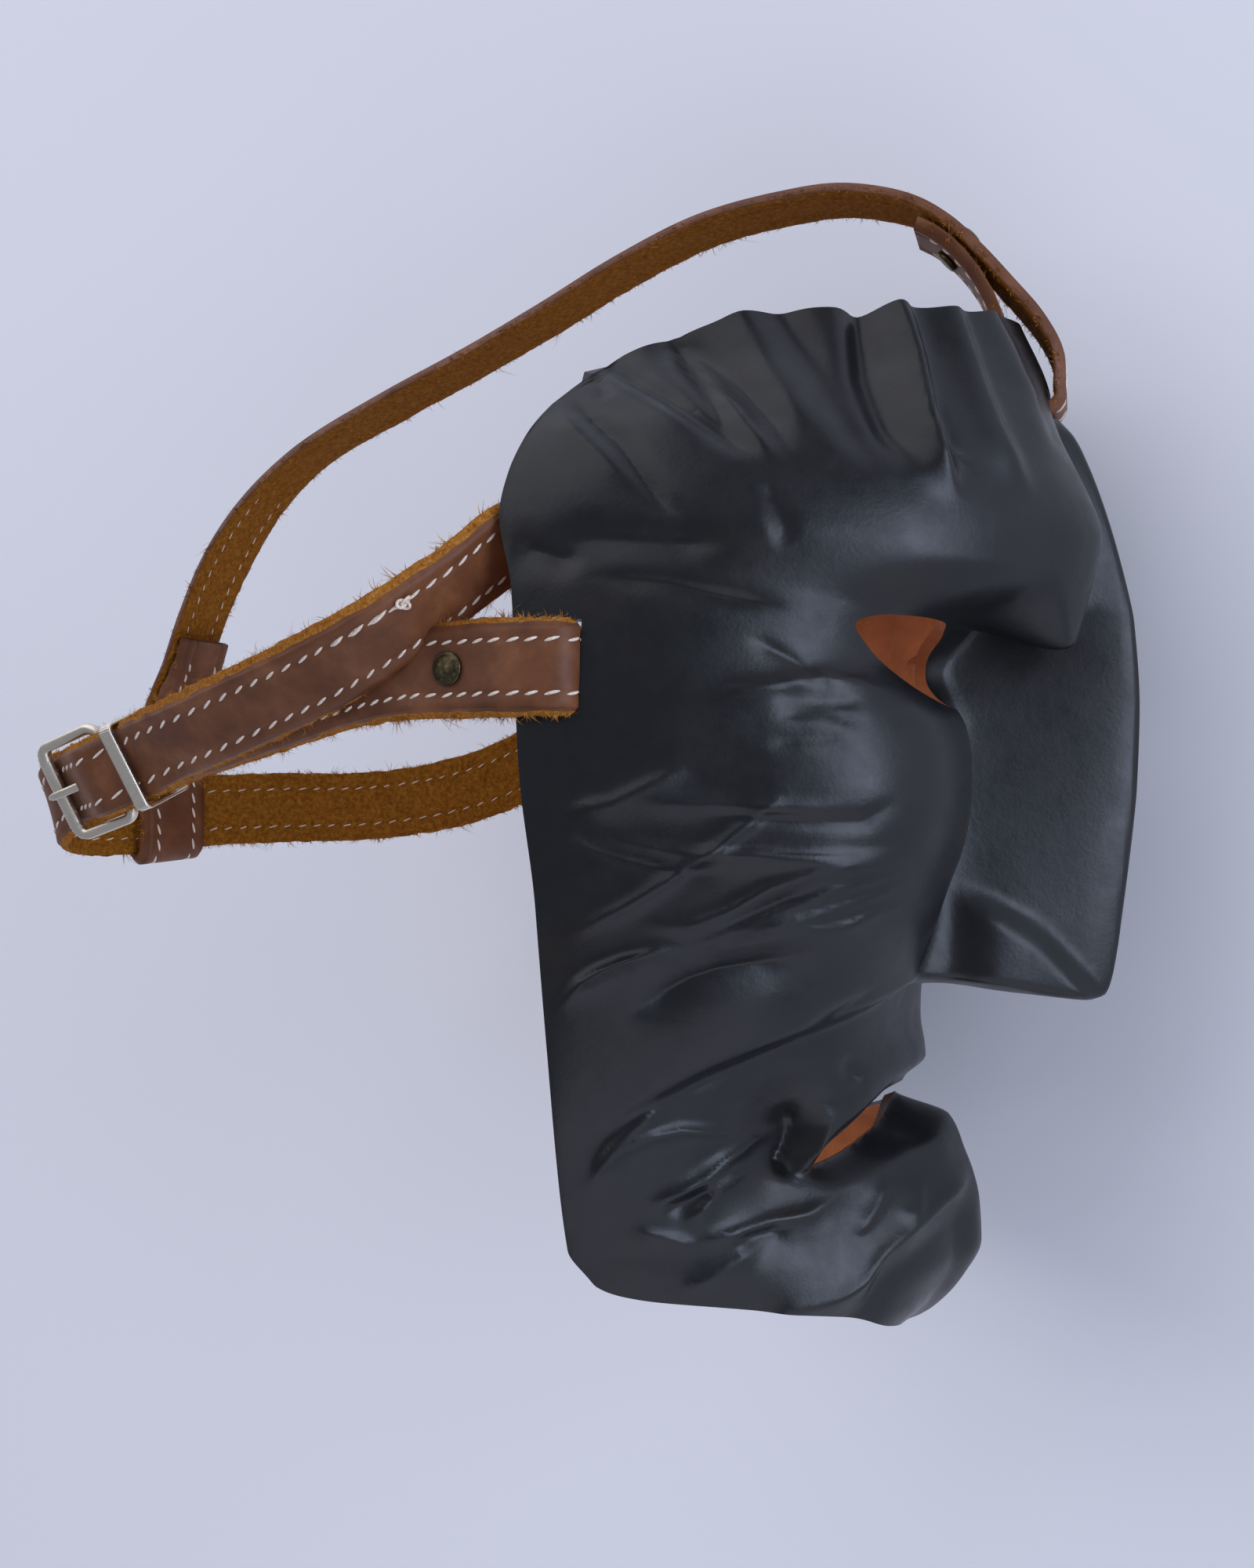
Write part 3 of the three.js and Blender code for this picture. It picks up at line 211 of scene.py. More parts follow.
def through(stations, x):
    """A Hermite curve through the stations; each inner slope is the harmonic mean of its neighbours'."""
    sx, sy = np.array(stations, float).T
    slope = np.diff(sy) / np.diff(sx)
    inner = slope[:-1] * slope[1:]
    mean = np.where(inner > 0, 2 * inner / np.where(inner > 0, slope[:-1] + slope[1:], 1.0), 0.0)
    tangent = np.concatenate([slope[:1], mean, slope[-1:]])
    at = np.clip(x, sx[0], sx[-1])
    i = np.clip(np.searchsorted(sx, at, side="left") - 1, 0, len(sx) - 2)
    span = sx[i + 1] - sx[i]
    t = (at - sx[i]) / span
    return ((2 * t**3 - 3 * t**2 + 1) * sy[i] + (t**3 - 2 * t**2 + t) * span * tangent[i]
            + (3 * t**2 - 2 * t**3) * sy[i + 1] + (t**3 - t**2) * span * tangent[i + 1])


def ease(start, end, x):
    """Nought before start, one after end, and 3t^2 - 2t^3 between them."""
    t = np.clip((x - start) / (end - start), 0, 1)
    return t * t * (3 - 2 * t)


def bell(x, centre, width):
    """A bell curve: e to the minus ((x - centre) / width) squared."""
    return np.exp(-((x - centre) / width) ** 2)


def crease(way, above, below, power, taper, x, y):
    """e to the minus (distance to a line / width)^power, with a width for each side, fading at the ends."""
    way = np.array(way, float)
    best = np.full(x.shape, 1e9)
    side = np.zeros_like(best)
    along = np.zeros_like(best)
    steps = np.hypot(*np.diff(way, axis=0).T)
    before = 0.0
    for start, end, length in zip(way[:-1], way[1:], steps):
        ux, uy = (end - start) / length
        dx, dy = x - start[0], y - start[1]
        t = np.clip(dx * ux + dy * uy, 0, length)
        off = np.hypot(dx - t * ux, dy - t * uy)
        nearer = off < best
        best = np.where(nearer, off, best)
        side = np.where(nearer, ux * dy - uy * dx, side)
        along = np.where(nearer, (before + t) / steps.sum(), along)
        before += length
    ends = ease(0, taper, along) * ease(0, taper, 1 - along)
    return np.exp(-(best / np.where(side > 0, above, below)) ** power) * ends


def upper_lip_edge(side):
    """The upper lip's edge: the middle's height less the drop times (side / corner)^3.2."""
    return MOUTH_MIDDLE - MOUTH_DROP * (np.minimum(np.abs(side), 46) / MOUTH_CORNER) ** 3.2


def gape_at(side):
    """The mouth's gap: the gape times 1 - (side / corner)^7, about half as wide in the middle."""
    side = np.abs(side)
    return MOUTH_GAPE * np.maximum(1 - (side / MOUTH_CORNER) ** 7, 0) * (0.45 + 0.55 * ease(0, 18, side))


def face_points(across, height):
    """The outer face: an arch rim + (front - rim) cos^(2/p), with each feature pushed out along
    the arch's own direction, the brow and nose straight forward, and the lips curled in."""
    share = np.abs(across)
    hand = np.sign(across)
    power = 2 / through(ARCH_SQUARENESS, height)
    rim = through(RIM_FORWARD, height)
    front = through(FRONT_FORWARD, height)
    flat = through(FRONT_FLAT, height)
    turn = share * np.pi / 2
    arch = rim + (front - rim) * np.maximum(np.cos(turn), 0) ** power
    span = (through(HALF_WIDTH, height) - flat) * np.sin(turn) ** power + flat * ease(0, 0.35, share)
    frontness = np.maximum(np.cos(turn), 0) ** 1.2
    sideness = np.sqrt(1 - frontness**2)
    over_fold = height - np.interp(arch, *np.array(CHEEK_FOLD, float).T)
    relief = (CHEEK_OVERHANG * ease(-1.5, 2.5, over_fold) * bell(np.maximum(over_fold - 2, 0), 0, 16)
              * ease(8, 50, arch) * ease(13, 19, span))
    relief += CHEEKBONE_RISE * bell(arch, 84, 22) * bell(height, -4, 28) * ease(20, 34, span)
    relief -= TEMPLE_HOLLOW * bell(arch, 40, 18) * bell(height, -15, 30)
    relief -= SOCKET_DEPTH * bell(span, 40, 22) * bell(height, 28, 9) * ease(26, 34, arch)
    relief -= NOSE_VALLEY * bell(span, 25, 7) * ease(-48, -22, height) * (1 - ease(22, 42, height))
    relief -= LIP_CORNER_HOLLOW * bell(arch, 50, 9) * bell(height, -82, 16)
    relief += LIP_SWELL * bell(arch, 64, 7) * bell(height, -70, 9)
    pleated = np.zeros_like(relief)
    for way, rise, above, below in PLEATS:
        near = crease(way, above, below, PLEAT_POWER, PLEAT_TAPER, arch, height)
        pleated += rise * near * ease(14, 24, span)
    relief += pleated
    below_chin = through(CHIN_RIDGE, arch) - height
    jaw = ease(44, 54, arch) * ease(2, 14, span)
    relief += jaw * (JAW_LEDGE * np.exp(-np.abs(below_chin) / 3.2) - JAW_HOLLOW * ease(0, 10, below_chin))
    # The left half's wrinkles lie a few millimetres off the right half's
    wander = np.where(hand < 0, 1.0, 0.0)
    shifted_x = arch + wander * (3 + 2 * np.sin(height / 17))
    shifted_y = height + wander * (2.5 * np.sin(arch / 14) - 1)
    for way, rise, above, below in WRINKLES:
        near = crease(way, above * WRINKLE_ABOVE, below * WRINKLE_BELOW, WRINKLE_POWER, WRINKLE_TAPER,
                      shifted_x, shifted_y)
        relief += WRINKLE_RISE * rise * near * ease(20, 30, span)
    forward = arch + relief * frontness
    side = span + relief * sideness
    width = side.copy()

    over_foot = height - through(BROW_FOOT, width)
    foot_rise = np.clip((over_foot + 0.5) / (7.5 + 8 * ease(24, 40, width)), 0, 1)
    push = (through(BROW_OUT, width) * foot_rise**2 * (3 - 2 * foot_rise)
            * bell(np.maximum(over_foot - 14, 0), 0, 24))
    temple = ease(0.55, 0.95, share)
    forward = forward + push * (1 - temple)
    side = side + 0.8 * push * temple
    up = height + 0.45 * pleated * ease(96, 112, height)
    up = up - (0.58 * bell(width, 22, 13) + 0.13) * push * bell(np.maximum(over_foot - 2, 0), 0, 10)

    foot = through(NOSE_FOOT, height)
    ridge = through(RIDGE_HALF, height)
    wall = 1 - np.clip((width - ridge) / (foot - ridge), 0, 1)
    wedge = 0.55 * wall + 0.45 * wall * wall * (3 - 2 * wall)
    nose = np.maximum(through(RIDGE_FORWARD, height) - forward, 0) * wedge * ease(96, 86, height)
    nose = np.where(height > NOSE_UNDERSIDE, nose, 0)
    forward = forward + nose
    up = up - NOSE_DROOP * (nose / NOSE_REACH) * bell(np.maximum(height + 44, 0), 0, 18)
    below_wing = np.interp(forward, *np.array(NOSTRIL_LINE, float).T) - height
    side = side + (NOSTRIL_WING * ease(0, 7, below_wing) * ease(86, 98, forward)
                   * (1 - ease(116, 126, forward)) * ease(-48.9, -47, height)
                   * (1 - ease(26, 34, width)) * ease(1, 6, width))

    above = np.maximum(height - upper_lip_edge(width), 0)
    gape = gape_at(width)
    below = np.maximum(upper_lip_edge(width) - gape - height, 0)
    within = np.clip((upper_lip_edge(width) - height) / np.maximum(gape, 0.5), 0, 1)
    curl = ((6.5 + 3.5 * within - 2 * ease(10, 32, width))
            * np.minimum(ease(6.5, -0.5, above), ease(5, -0.5, below)))
    rolled = ((1.2 - 2.2 * ease(10, 24, width)) * bell(below, 6, 5) * ease(0, 4, below)
              + 0.8 * bell(above, 9, 5) * ease(0, 4, above))
    forward = forward + (rolled - curl) * (1 - ease(38, 48, width))
    return np.stack([forward, up, hand * side], axis=-1)


FINE_STEPS = 6001


def spread(count, start, end, density):
    """Places from start to end, as close together as the density says: equal steps of its sum."""
    fine = np.linspace(start, end, FINE_STEPS)
    weight = density(fine)
    total = np.concatenate([[0], np.cumsum((weight[1:] + weight[:-1]) / 2)])
    return np.interp(np.linspace(0, total[-1], count), total, fine)


# The right eye's cut: [width, height] points
EYE_OUTLINE = np.array([[22.4, 28], [24.4, 21.8], [29, 18.4], [36, 17.4], [45, 18.2], [53, 20.8], [58.5, 25],
                        [63.5, 29.5], [68, 34.8], [64, 37], [57, 37.4], [48, 37.3], [38, 36.6],
                        [28.5, 34]])
EYE_POINTS = 66


def smooth_outline(points, count):
    """A closed curve through the points, each stretch a cubic with the neighbours' mean slope."""
    t = np.linspace(0, len(points), count, endpoint=False)
    i = t.astype(int)
    u = (t - i)[:, None]
    p0, p1, p2, p3 = (points[(i + k) % len(points)] for k in (-1, 0, 1, 2))
    return 0.5 * (2 * p1 + (p2 - p0) * u + (2 * p0 - 5 * p1 + 4 * p2 - p3) * u**2
                  + (3 * p1 - p0 - 3 * p2 + p3) * u**3)


def inside_outline(outline, x, y):
    """Signed distance to a closed outline: positive where a level line crosses it an odd number of times."""
    best = np.full(x.shape, 1e9)
    crossings = np.zeros(x.shape, int)
    for (ax, ay), (bx, by) in zip(outline, np.roll(outline, -1, axis=0)):
        ux, uy = bx - ax, by - ay
        t = np.clip(((x - ax) * ux + (y - ay) * uy) / (ux * ux + uy * uy + 1e-12), 0, 1)
        best = np.minimum(best, np.hypot(x - ax - t * ux, y - ay - t * uy))
        spans = (ay > y) != (by > y)
        level = ax + ux * (y - ay) / (uy if abs(uy) > 1e-12 else 1e-12)
        crossings += spans & (x < level)
    return np.where(crossings % 2 == 1, best, -best)


def unit(vectors):
    """Each vector divided by its length."""
    return vectors / np.linalg.norm(vectors, axis=-1, keepdims=True)


# The straps' slots: one upright in each side, and one across the top of the forehead
SLOT_FRONT = 14.3
SLOT_LONG = 5.6
SLOT_HEIGHT = 25.0
SLOT_TALL = 20.5
SLOT_BACK_ROOM = 0.45
BROW_SLOT_HEIGHT = 97.0
BROW_SLOT_LONG = 6.8
NO_CUT = -9.0
brow_edge = face_points(np.zeros(1), np.full(1, BROW_SLOT_HEIGHT))[0]
brow_way = unit(face_points(np.zeros(1), np.full(1, TOP_HEIGHT))[0] - brow_edge)
brow_out = np.array([brow_way[1], -brow_way[0], 0.0])


def holes(points):
    """How far a point lies inside the nearest cut: the eyes, mouth, side slots or forehead slot."""
    forward, up, right = points.T
    eye = inside_outline(smooth_outline(EYE_OUTLINE, EYE_POINTS), np.abs(right), up)
    mouth = np.minimum(upper_lip_edge(right) - up, up - upper_lip_edge(right) + gape_at(right))
    front = np.where(forward > 40, np.maximum(eye, mouth), NO_CUT)
    slot = np.minimum(SLOT_LONG / 2 - np.abs(forward - SLOT_FRONT + SLOT_BACK_ROOM + SLOT_LONG / 2),
                      SLOT_TALL / 2 - np.abs(up - SLOT_HEIGHT))
    side = np.where(np.abs(right) > 60, slot, NO_CUT)
    along = (points - brow_edge) @ brow_way
    brow = np.minimum(BROW_SLOT_LONG / 2 - np.abs(along + BROW_SLOT_LONG / 2), SLOT_TALL / 2 - np.abs(right))
    brow = np.where(forward > 90, brow, NO_CUT)
    return np.maximum(np.maximum(front, side), brow)


def grid_faces(rows, columns, closed=False):
    """Quads between neighbouring rows and columns of a grid of points, numbered row by row."""
    wide = columns if closed else columns - 1
    j, i = np.meshgrid(np.arange(rows - 1), np.arange(wide), indexing="ij")
    a = (j * columns + i).ravel()
    b = (j * columns + (i + 1) % columns).ravel()
    return np.stack([a, b, b + columns, a + columns], axis=1)


def grid_normals(points):
    """Cross product of the differences across and down the grid, made one long."""
    return unit(np.cross(np.gradient(points, axis=1), np.gradient(points, axis=0)))


def neighbours(values):
    """The sum of the four neighbours of each inner point of a grid."""
    return values[:-2, 1:-1] + values[2:, 1:-1] + values[1:-1, :-2] + values[1:-1, 2:]


def clipped(points, extras, triangles, level):
    """Triangles cut where level rises past nought. Each cut triangle is turned so that its odd corner,
    the only one kept or the only one lost, comes first. The cut points lie on its two sides, where the
    level would be nought along a straight line, and neighbours share them."""
    low = level[triangles] < 0
    kept_corners = low.sum(axis=1)
    one_kept = triangles[kept_corners == 1]
    two_kept = triangles[kept_corners == 2]
    odd = np.concatenate([low[kept_corners == 1].argmax(axis=1), low[kept_corners == 2].argmin(axis=1)])
    first, second, third = np.take_along_axis(np.concatenate([one_kept, two_kept]),
                                              (odd[:, None] + np.arange(3)) % 3, axis=1).T
    sides = np.sort(np.concatenate([np.stack([first, second], 1), np.stack([first, third], 1)]), axis=1)
    ends, number = np.unique(sides, axis=0, return_inverse=True)
    number = number.reshape(2, -1) + len(points)
    share = (level[ends[:, 0]] / (level[ends[:, 0]] - level[ends[:, 1]]))[:, None]
    new_points = points[ends[:, 0]] * (1 - share) + points[ends[:, 1]] * share
    new_extras = extras[ends[:, 0]] * (1 - share) + extras[ends[:, 1]] * share
    alone, paired = slice(0, len(one_kept)), slice(len(one_kept), None)
    pieces = [triangles[kept_corners == 3],
              np.stack([first[alone], number[0, alone], number[1, alone]], 1),
              np.stack([second[paired], third[paired], number[1, paired]], 1),
              np.stack([second[paired], number[1, paired], number[0, paired]], 1)]
    return np.concatenate([points, new_points]), np.concatenate([extras, new_extras]), np.concatenate(pieces)


def rim_edges(triangles):
    """Edges that only one triangle has, in that triangle's own direction."""
    edges = np.concatenate([triangles[:, [0, 1]], triangles[:, [1, 2]], triangles[:, [2, 0]]])
    keys = np.sort(edges, axis=1)
    _, first, counts = np.unique(keys, axis=0, return_index=True, return_counts=True)
    return edges[first[counts == 1]]


def new_piece(name, points, faces, finishes, slots):
    """A smooth mesh object from whole arrays: points in metres, faces of three or four corners."""
    faces = [np.asarray(part, int) for part in (faces if isinstance(faces, list) else [faces])]
    mesh = bpy.data.meshes.new(name)
    mesh.vertices.add(len(points))
    mesh.vertices.foreach_set("co", np.asarray(points, np.float32).ravel())
    corners = np.concatenate([part.ravel() for part in faces])
    counts = np.concatenate([np.full(len(part), part.shape[1]) for part in faces])
    mesh.loops.add(len(corners))
    mesh.loops.foreach_set("vertex_index", corners.astype(np.int32))
    mesh.polygons.add(len(counts))
    mesh.polygons.foreach_set("loop_start", (np.cumsum(counts) - counts).astype(np.int32))
    for finish in finishes:
        mesh.materials.append(finish)
    if slots is not None:
        mesh.polygons.foreach_set("material_index", np.asarray(slots, np.int32))
    mesh.polygons.foreach_set("use_smooth", np.ones(len(counts), bool))
    mesh.update(calc_edges=True)
    mesh.validate()
    piece = bpy.data.objects.new(name, mesh)
    bpy.context.scene.collection.objects.link(piece)
    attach(piece, "root")
    return piece


def colour(code):
    """An sRGB hex code as linear red, green, blue and one."""
    channels = np.array([int(code[k:k + 2], 16) for k in (1, 3, 5)]) / 255
    linear = np.where(channels <= 0.04045, channels / 12.92, ((channels + 0.055) / 1.055) ** 2.4)
    return (*linear.tolist(), 1.0)


def fit(material, node, settings=None, links=None):
    """A node given its settings (a ramp's stops, attributes or input values) and its links."""
    for key, value in (settings or {}).items():
        if key == "stops":
            while len(node.color_ramp.elements) < len(value):
                node.color_ramp.elements.new(0.5)
            for element, (place, code) in zip(node.color_ramp.elements, value):
                element.position = place
                element.color = colour(code)
        elif isinstance(key, str) and hasattr(node, key):
            setattr(node, key, value)
        else:
            node.inputs[key].default_value = value
    for key, source in (links or {}).items():
        material.node_tree.links.new(source, node.inputs[key])


def add(material, kind, out, settings=None, links=None):
    """One more node with its settings and links; gives the output socket that is asked for."""
    node = material.node_tree.nodes.new(kind)
    fit(material, node, settings, links)
    return node.outputs[out]


def new_material(name):
    """An empty material with its principled shader and Object coordinates in millimetres."""
    material = bpy.data.materials.new(name)
    material.use_nodes = True
    place = add(material, "ShaderNodeTexCoord", "Object")
    mm = add(material, "ShaderNodeMapping", "Vector", {"Scale": (1000, 1000, 1000)}, {"Vector": place})
    return material, material.node_tree.nodes["Principled BSDF"], mm


# Black hide: aniline-dyed and waxed, so the dye is thinner and browner in some patches, the grain
# is a fine pebble about 0.7 mm across, and the wax lies in patches of higher and lower shine.
black_hide, shader, mm = new_material("black_dyed_waxed_cowhide")
cloud = add(black_hide, "ShaderNodeTexNoise", "Fac", {"Scale": 0.035, "Detail": 6.0, "Roughness": 0.6},
            {"Vector": mm})
dye = add(black_hide, "ShaderNodeValToRGB", "Color",
          {"stops": [(0.3, "#0D0F11"), (0.55, "#121315"), (0.75, "#1D1815")]}, {"Fac": cloud})
smear = add(black_hide, "ShaderNodeTexNoise", "Fac", {"Scale": 0.12, "Detail": 5.0, "Roughness": 0.65},
            {"Vector": mm})
wax = add(black_hide, "ShaderNodeMapRange", "Result",
          {"From Min": 0.3, "From Max": 0.7, "To Min": 0.27, "To Max": 0.42}, {"Value": smear})
pebble = add(black_hide, "ShaderNodeTexVoronoi", "Distance", {"Scale": 1.4, "feature": "SMOOTH_F1"},
             {"Vector": mm})
crumple = add(black_hide, "ShaderNodeTexNoise", "Fac", {"Scale": 0.25, "Detail": 8.0, "Roughness": 0.62},
              {"Vector": mm})
grain = add(black_hide, "ShaderNodeBump", "Normal", {"Strength": 0.08, "Distance": 0.0002},
            {"Height": pebble})
folds = add(black_hide, "ShaderNodeBump", "Normal", {"Strength": 0.11, "Distance": 0.0008},
            {"Height": crumple, "Normal": grain})
fit(black_hide, shader, {"IOR": 1.43}, {"Base Color": dye, "Roughness": wax, "Normal": folds})

# The hide's undyed back: a matt, orange-tan nap, in lighter and darker patches 15 to 20 mm across.
tan_flesh, shader, mm = new_material("undyed_flesh_side")
nap = add(tan_flesh, "ShaderNodeTexNoise", "Fac", {"Scale": 0.06, "Detail": 9.0, "Roughness": 0.7},
          {"Vector": mm})
tan = add(tan_flesh, "ShaderNodeValToRGB", "Color",
          {"stops": [(0.3, "#8C4B22"), (0.5, "#A45A2C"), (0.72, "#B66B37")]}, {"Fac": nap})
fine_nap = add(tan_flesh, "ShaderNodeTexNoise", "Fac", {"Scale": 1.6, "Detail": 6.0}, {"Vector": mm})
nap_bump = add(tan_flesh, "ShaderNodeBump", "Normal", {"Strength": 0.4, "Distance": 0.0003},
               {"Height": fine_nap})
fit(tan_flesh, shader, {"Roughness": 0.85}, {"Base Color": tan, "Normal": nap_bump})


def column_density(across):
    """Closer at the nose and the rims, and more than twice as close on the wearer's right as on the
    left, because the light picks out every wrinkle there."""
    share = np.abs(across)
    return ((1 + 0.7 * np.exp(-(share / 0.17) ** 4) + 1.2 * bell(share, 0.985, 0.03))
            * np.where(across > 0, 1.0, 0.42))


def row_density(height):
    """Closer under the brow, at the nose's underside and at the mouth."""
    return 1 + 1.0 * bell(height, 40, 9) + 3.6 * bell(height, -45.5, 3.5) + 1.6 * bell(height, -78.5, 6)


columns = spread(COLUMNS, -1, 1, column_density)
centre_heights = spread(ROWS, TOP_HEIGHT, CHIN_HEIGHT, row_density)
across, centre_height = np.meshgrid(columns, centre_heights)
share = np.abs(across)
height = np.where(centre_height > 0, centre_height * through(TOP_EDGE, share) / TOP_HEIGHT,
                  centre_height * through(CHIN_EDGE, share) / CHIN_HEIGHT)
# The rows sag with the mouth, so that they follow its edges
SAG_WIDE = 0.45
sag = (np.minimum(share, SAG_WIDE) / SAG_WIDE) ** 3.2 * (1 - ease(SAG_WIDE, 0.9, share))
height = height - MOUTH_DROP * sag * bell(centre_height, -80, 24) * (centre_height <= 0)
outer = face_points(across, height)
# Each inner point moves a quarter of the way to the middle of its four neighbours
outer[1:-1, 1:-1] = 0.75 * outer[1:-1, 1:-1] + neighbours(outer) / 16
# The hide's inner face is less wrinkled: the directions of its thickness are evened out six times
normals = grid_normals(outer)
for _ in range(6):
    normals[1:-1, 1:-1] = (2 * normals[1:-1, 1:-1] + neighbours(normals)) / 6
quads = grid_faces(ROWS, COLUMNS)
# Each quad is cut along the diagonal whose two ends face more alike, so slanting folds stay smooth
facing = grid_normals(outer).reshape(-1, 3)[quads]
alike = (np.linalg.norm(facing[:, 0] - facing[:, 2], axis=1)
         < np.linalg.norm(facing[:, 1] - facing[:, 3], axis=1))
triangles = np.concatenate([quads[alike][:, [0, 1, 2]], quads[alike][:, [0, 2, 3]],
                            quads[~alike][:, [0, 1, 3]], quads[~alike][:, [1, 2, 3]]])
skin, lifts, triangles = clipped(outer.reshape(-1, 3), unit(normals).reshape(-1, 3), triangles,
                                 holes(outer.reshape(-1, 3)))
lifts = unit(lifts)
# The points left over in the cuts are dropped
used, renumbered = np.unique(triangles, return_inverse=True)
triangles = renumbered.reshape(triangles.shape)
skin, lifts = skin[used], lifts[used]
back = skin - HIDE_THICK * lifts
# The walls of the cut edges have points of their own, so that the shading breaks there
border = rim_edges(triangles)
count = len(skin)
walls = np.stack([border[:, 1], border[:, 0], border[:, 0] + count, border[:, 1] + count], axis=1)
edge_ring = np.unique(border)
edge_number = np.zeros(2 * count, int)
edge_number[edge_ring] = 2 * count + np.arange(len(edge_ring))
edge_number[edge_ring + count] = 2 * count + len(edge_ring) + np.arange(len(edge_ring))
shell_points = laid(np.concatenate([skin, back, skin[edge_ring], back[edge_ring]]))
shell_points[:, 2] = np.maximum(shell_points[:, 2], 0.0)
shell_faces = [triangles, triangles[:, ::-1] + count, edge_number[walls]]
DYED, UNDYED = 0, 1
shell_slots = np.repeat([DYED, UNDYED, DYED], [len(part) for part in shell_faces])
# The eyes were cut after the hide was dyed, so their edges show undyed
middle = skin[border].mean(axis=1)
cut_eye = (middle[:, 0] > 40) & (np.abs(middle[:, 1] - 28) < 13) & (np.abs(middle[:, 2]) < 74)
shell_slots[-len(walls):][cut_eye] = UNDYED
face_hide = new_piece("face_hide", shell_points, shell_faces, [black_hide, tan_flesh], shell_slots)
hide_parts("mask_shell")


# The harness: three straps of 3 mm brown strap leather, 20 mm wide, cut with a strap cutter. The
# grain side is dyed brown, the flesh side is raw and golden, and the cut edges fray into fibres.
STRAP_WIDE = 20.0
STRAP_THICK = 3.0
CLEAR_GAP = 0.35
SIDE_PLAY = 0.6
LAYER_STEP = STRAP_THICK + CLEAR_GAP
UPRIGHT = np.array([0.0, 1.0, 0.0])
ACROSS_HEAD = np.array([0.0, 0.0, -1.0])
FORWARD = np.array([1.0, 0.0, 0.0])


def stop(at, wide, share=1.0):
    """A station of a strap: where its middle is, which way its width runs, and its share of width."""
    return (np.array(at, float), np.array(wide, float), share)


def half_turn(centre, start, over, wide, radius):
    """Stations round half a circle: centre + radius (start cos a + over sin a)."""
    angles = np.pi * np.arange(7) / 6
    return [stop(centre + radius * (start * np.cos(a) + over * np.sin(a)), wide) for a in angles]


def beside(stops, distance):
    """The same way moved off its outer face by the distance."""
    moved = []
    for k, (at, wide, _) in enumerate(stops):
        along = unit(stops[min(k + 1, len(stops) - 1)][0] - stops[max(k - 1, 0)][0])
        moved.append(stop(at + distance * unit(np.cross(wide, along)), wide))
    return moved


def centripetal(values, t):
    """A Catmull-Rom curve whose knots are the square roots of the gaps between the stations."""
    values = np.array(values, float)
    place = np.clip(t * (len(values) - 1), 0, len(values) - 1)
    i = np.minimum(place.astype(int), len(values) - 2)
    u = (place - i)[:, None]
    padded = np.vstack([2 * values[0] - values[1], values, 2 * values[-1] - values[-2]])
    p0, p1, p2, p3 = padded[i], padded[i + 1], padded[i + 2], padded[i + 3]
    gap = [np.sqrt(np.linalg.norm(b - a, axis=1))[:, None] for a, b in ((p0, p1), (p1, p2), (p2, p3))]
    middle = np.where(gap[1] < 1e-4, 1.0, gap[1])
    first = np.where(gap[0] < 1e-4, middle, gap[0])
    last = np.where(gap[2] < 1e-4, middle, gap[2])
    m1 = ((p1 - p0) / first - (p2 - p0) / (first + middle) + (p2 - p1) / middle) * middle
    m2 = ((p2 - p1) / middle - (p3 - p1) / (middle + last) + (p3 - p2) / last) * middle
    return ((2 * u**3 - 3 * u**2 + 1) * p1 + (u**3 - 2 * u**2 + u) * m1
            + (3 * u**2 - 2 * u**3) * p2 + (u**3 - u**2) * m2)


def read_off(at, length, values):
    """Each column of the values read off at places along a length."""
    return np.stack([np.interp(at, length, column) for column in values.T], axis=-1)


RING_STEP = 1.2


def strap_way(stops, step=RING_STEP):
    """The strap's middle, its along, wide and face directions and width share, every step of length."""
    t = np.linspace(0, 1, 60 * (len(stops) - 1) + 1)
    middle = centripetal([s[0] for s in stops], t)
    wides = centripetal([s[1] for s in stops], t)
    shares = np.interp(t * (len(stops) - 1), np.arange(len(stops)), [s[2] for s in stops])
    length = np.concatenate([[0], np.cumsum(np.linalg.norm(np.diff(middle, axis=0), axis=1))])
    at = np.linspace(0, length[-1], max(int(length[-1] / step), 2) + 1)
    middle = read_off(at, length, middle)
    wide = read_off(at, length, wides)
    along = unit(np.gradient(middle, axis=0))
    wide = unit(wide - (wide * along).sum(axis=1, keepdims=True) * along)
    return {"at": middle, "along": along, "wide": wide, "face": np.cross(wide, along),
            "share": np.interp(at, length, shares), "length": at}


def along_way(way, length, side, out):
    """A point of the strap at a length, a distance across its width and a distance off its middle."""
    at, wide, face = (read_off(length, way["length"], way[key]) for key in ("at", "wide", "face"))
    return at + wide * np.asarray(side)[..., None] + face * np.asarray(out)[..., None]


# Half of the strap's section, from the middle of one face round an edge to the middle of the other,
# with a pressed groove for the thread on both faces
SECTION_SIDE = np.array([0, 2.5, 4.4, 5.1, 5.7, 6.3, 7.4, 8.8, 9.65, 10, 10, 9.65, 8.8, 7.4, 6.3, 5.7,
                         5.1, 4.4, 2.5, 0])
SECTION_OUT = np.array([1.5, 1.5, 1.5, 1.46, 1.26, 1.46, 1.5, 1.48, 1.3, 0.75, -0.75, -1.3, -1.48, -1.5,
                        -1.46, -1.26, -1.46, -1.5, -1.5, -1.5])
SECTION = np.concatenate([np.stack([SECTION_SIDE, SECTION_OUT], 1),
                          np.stack([-SECTION_SIDE, SECTION_OUT], 1)[-2:0:-1]])
EDGE_SLOPE = 0.75
EDGE_RAGGED = 0.16
FLESH_RAGGED = 0.05
GRAIN_FINISH, FLESH_FINISH, EDGE_FINISH = 0, 1, 2


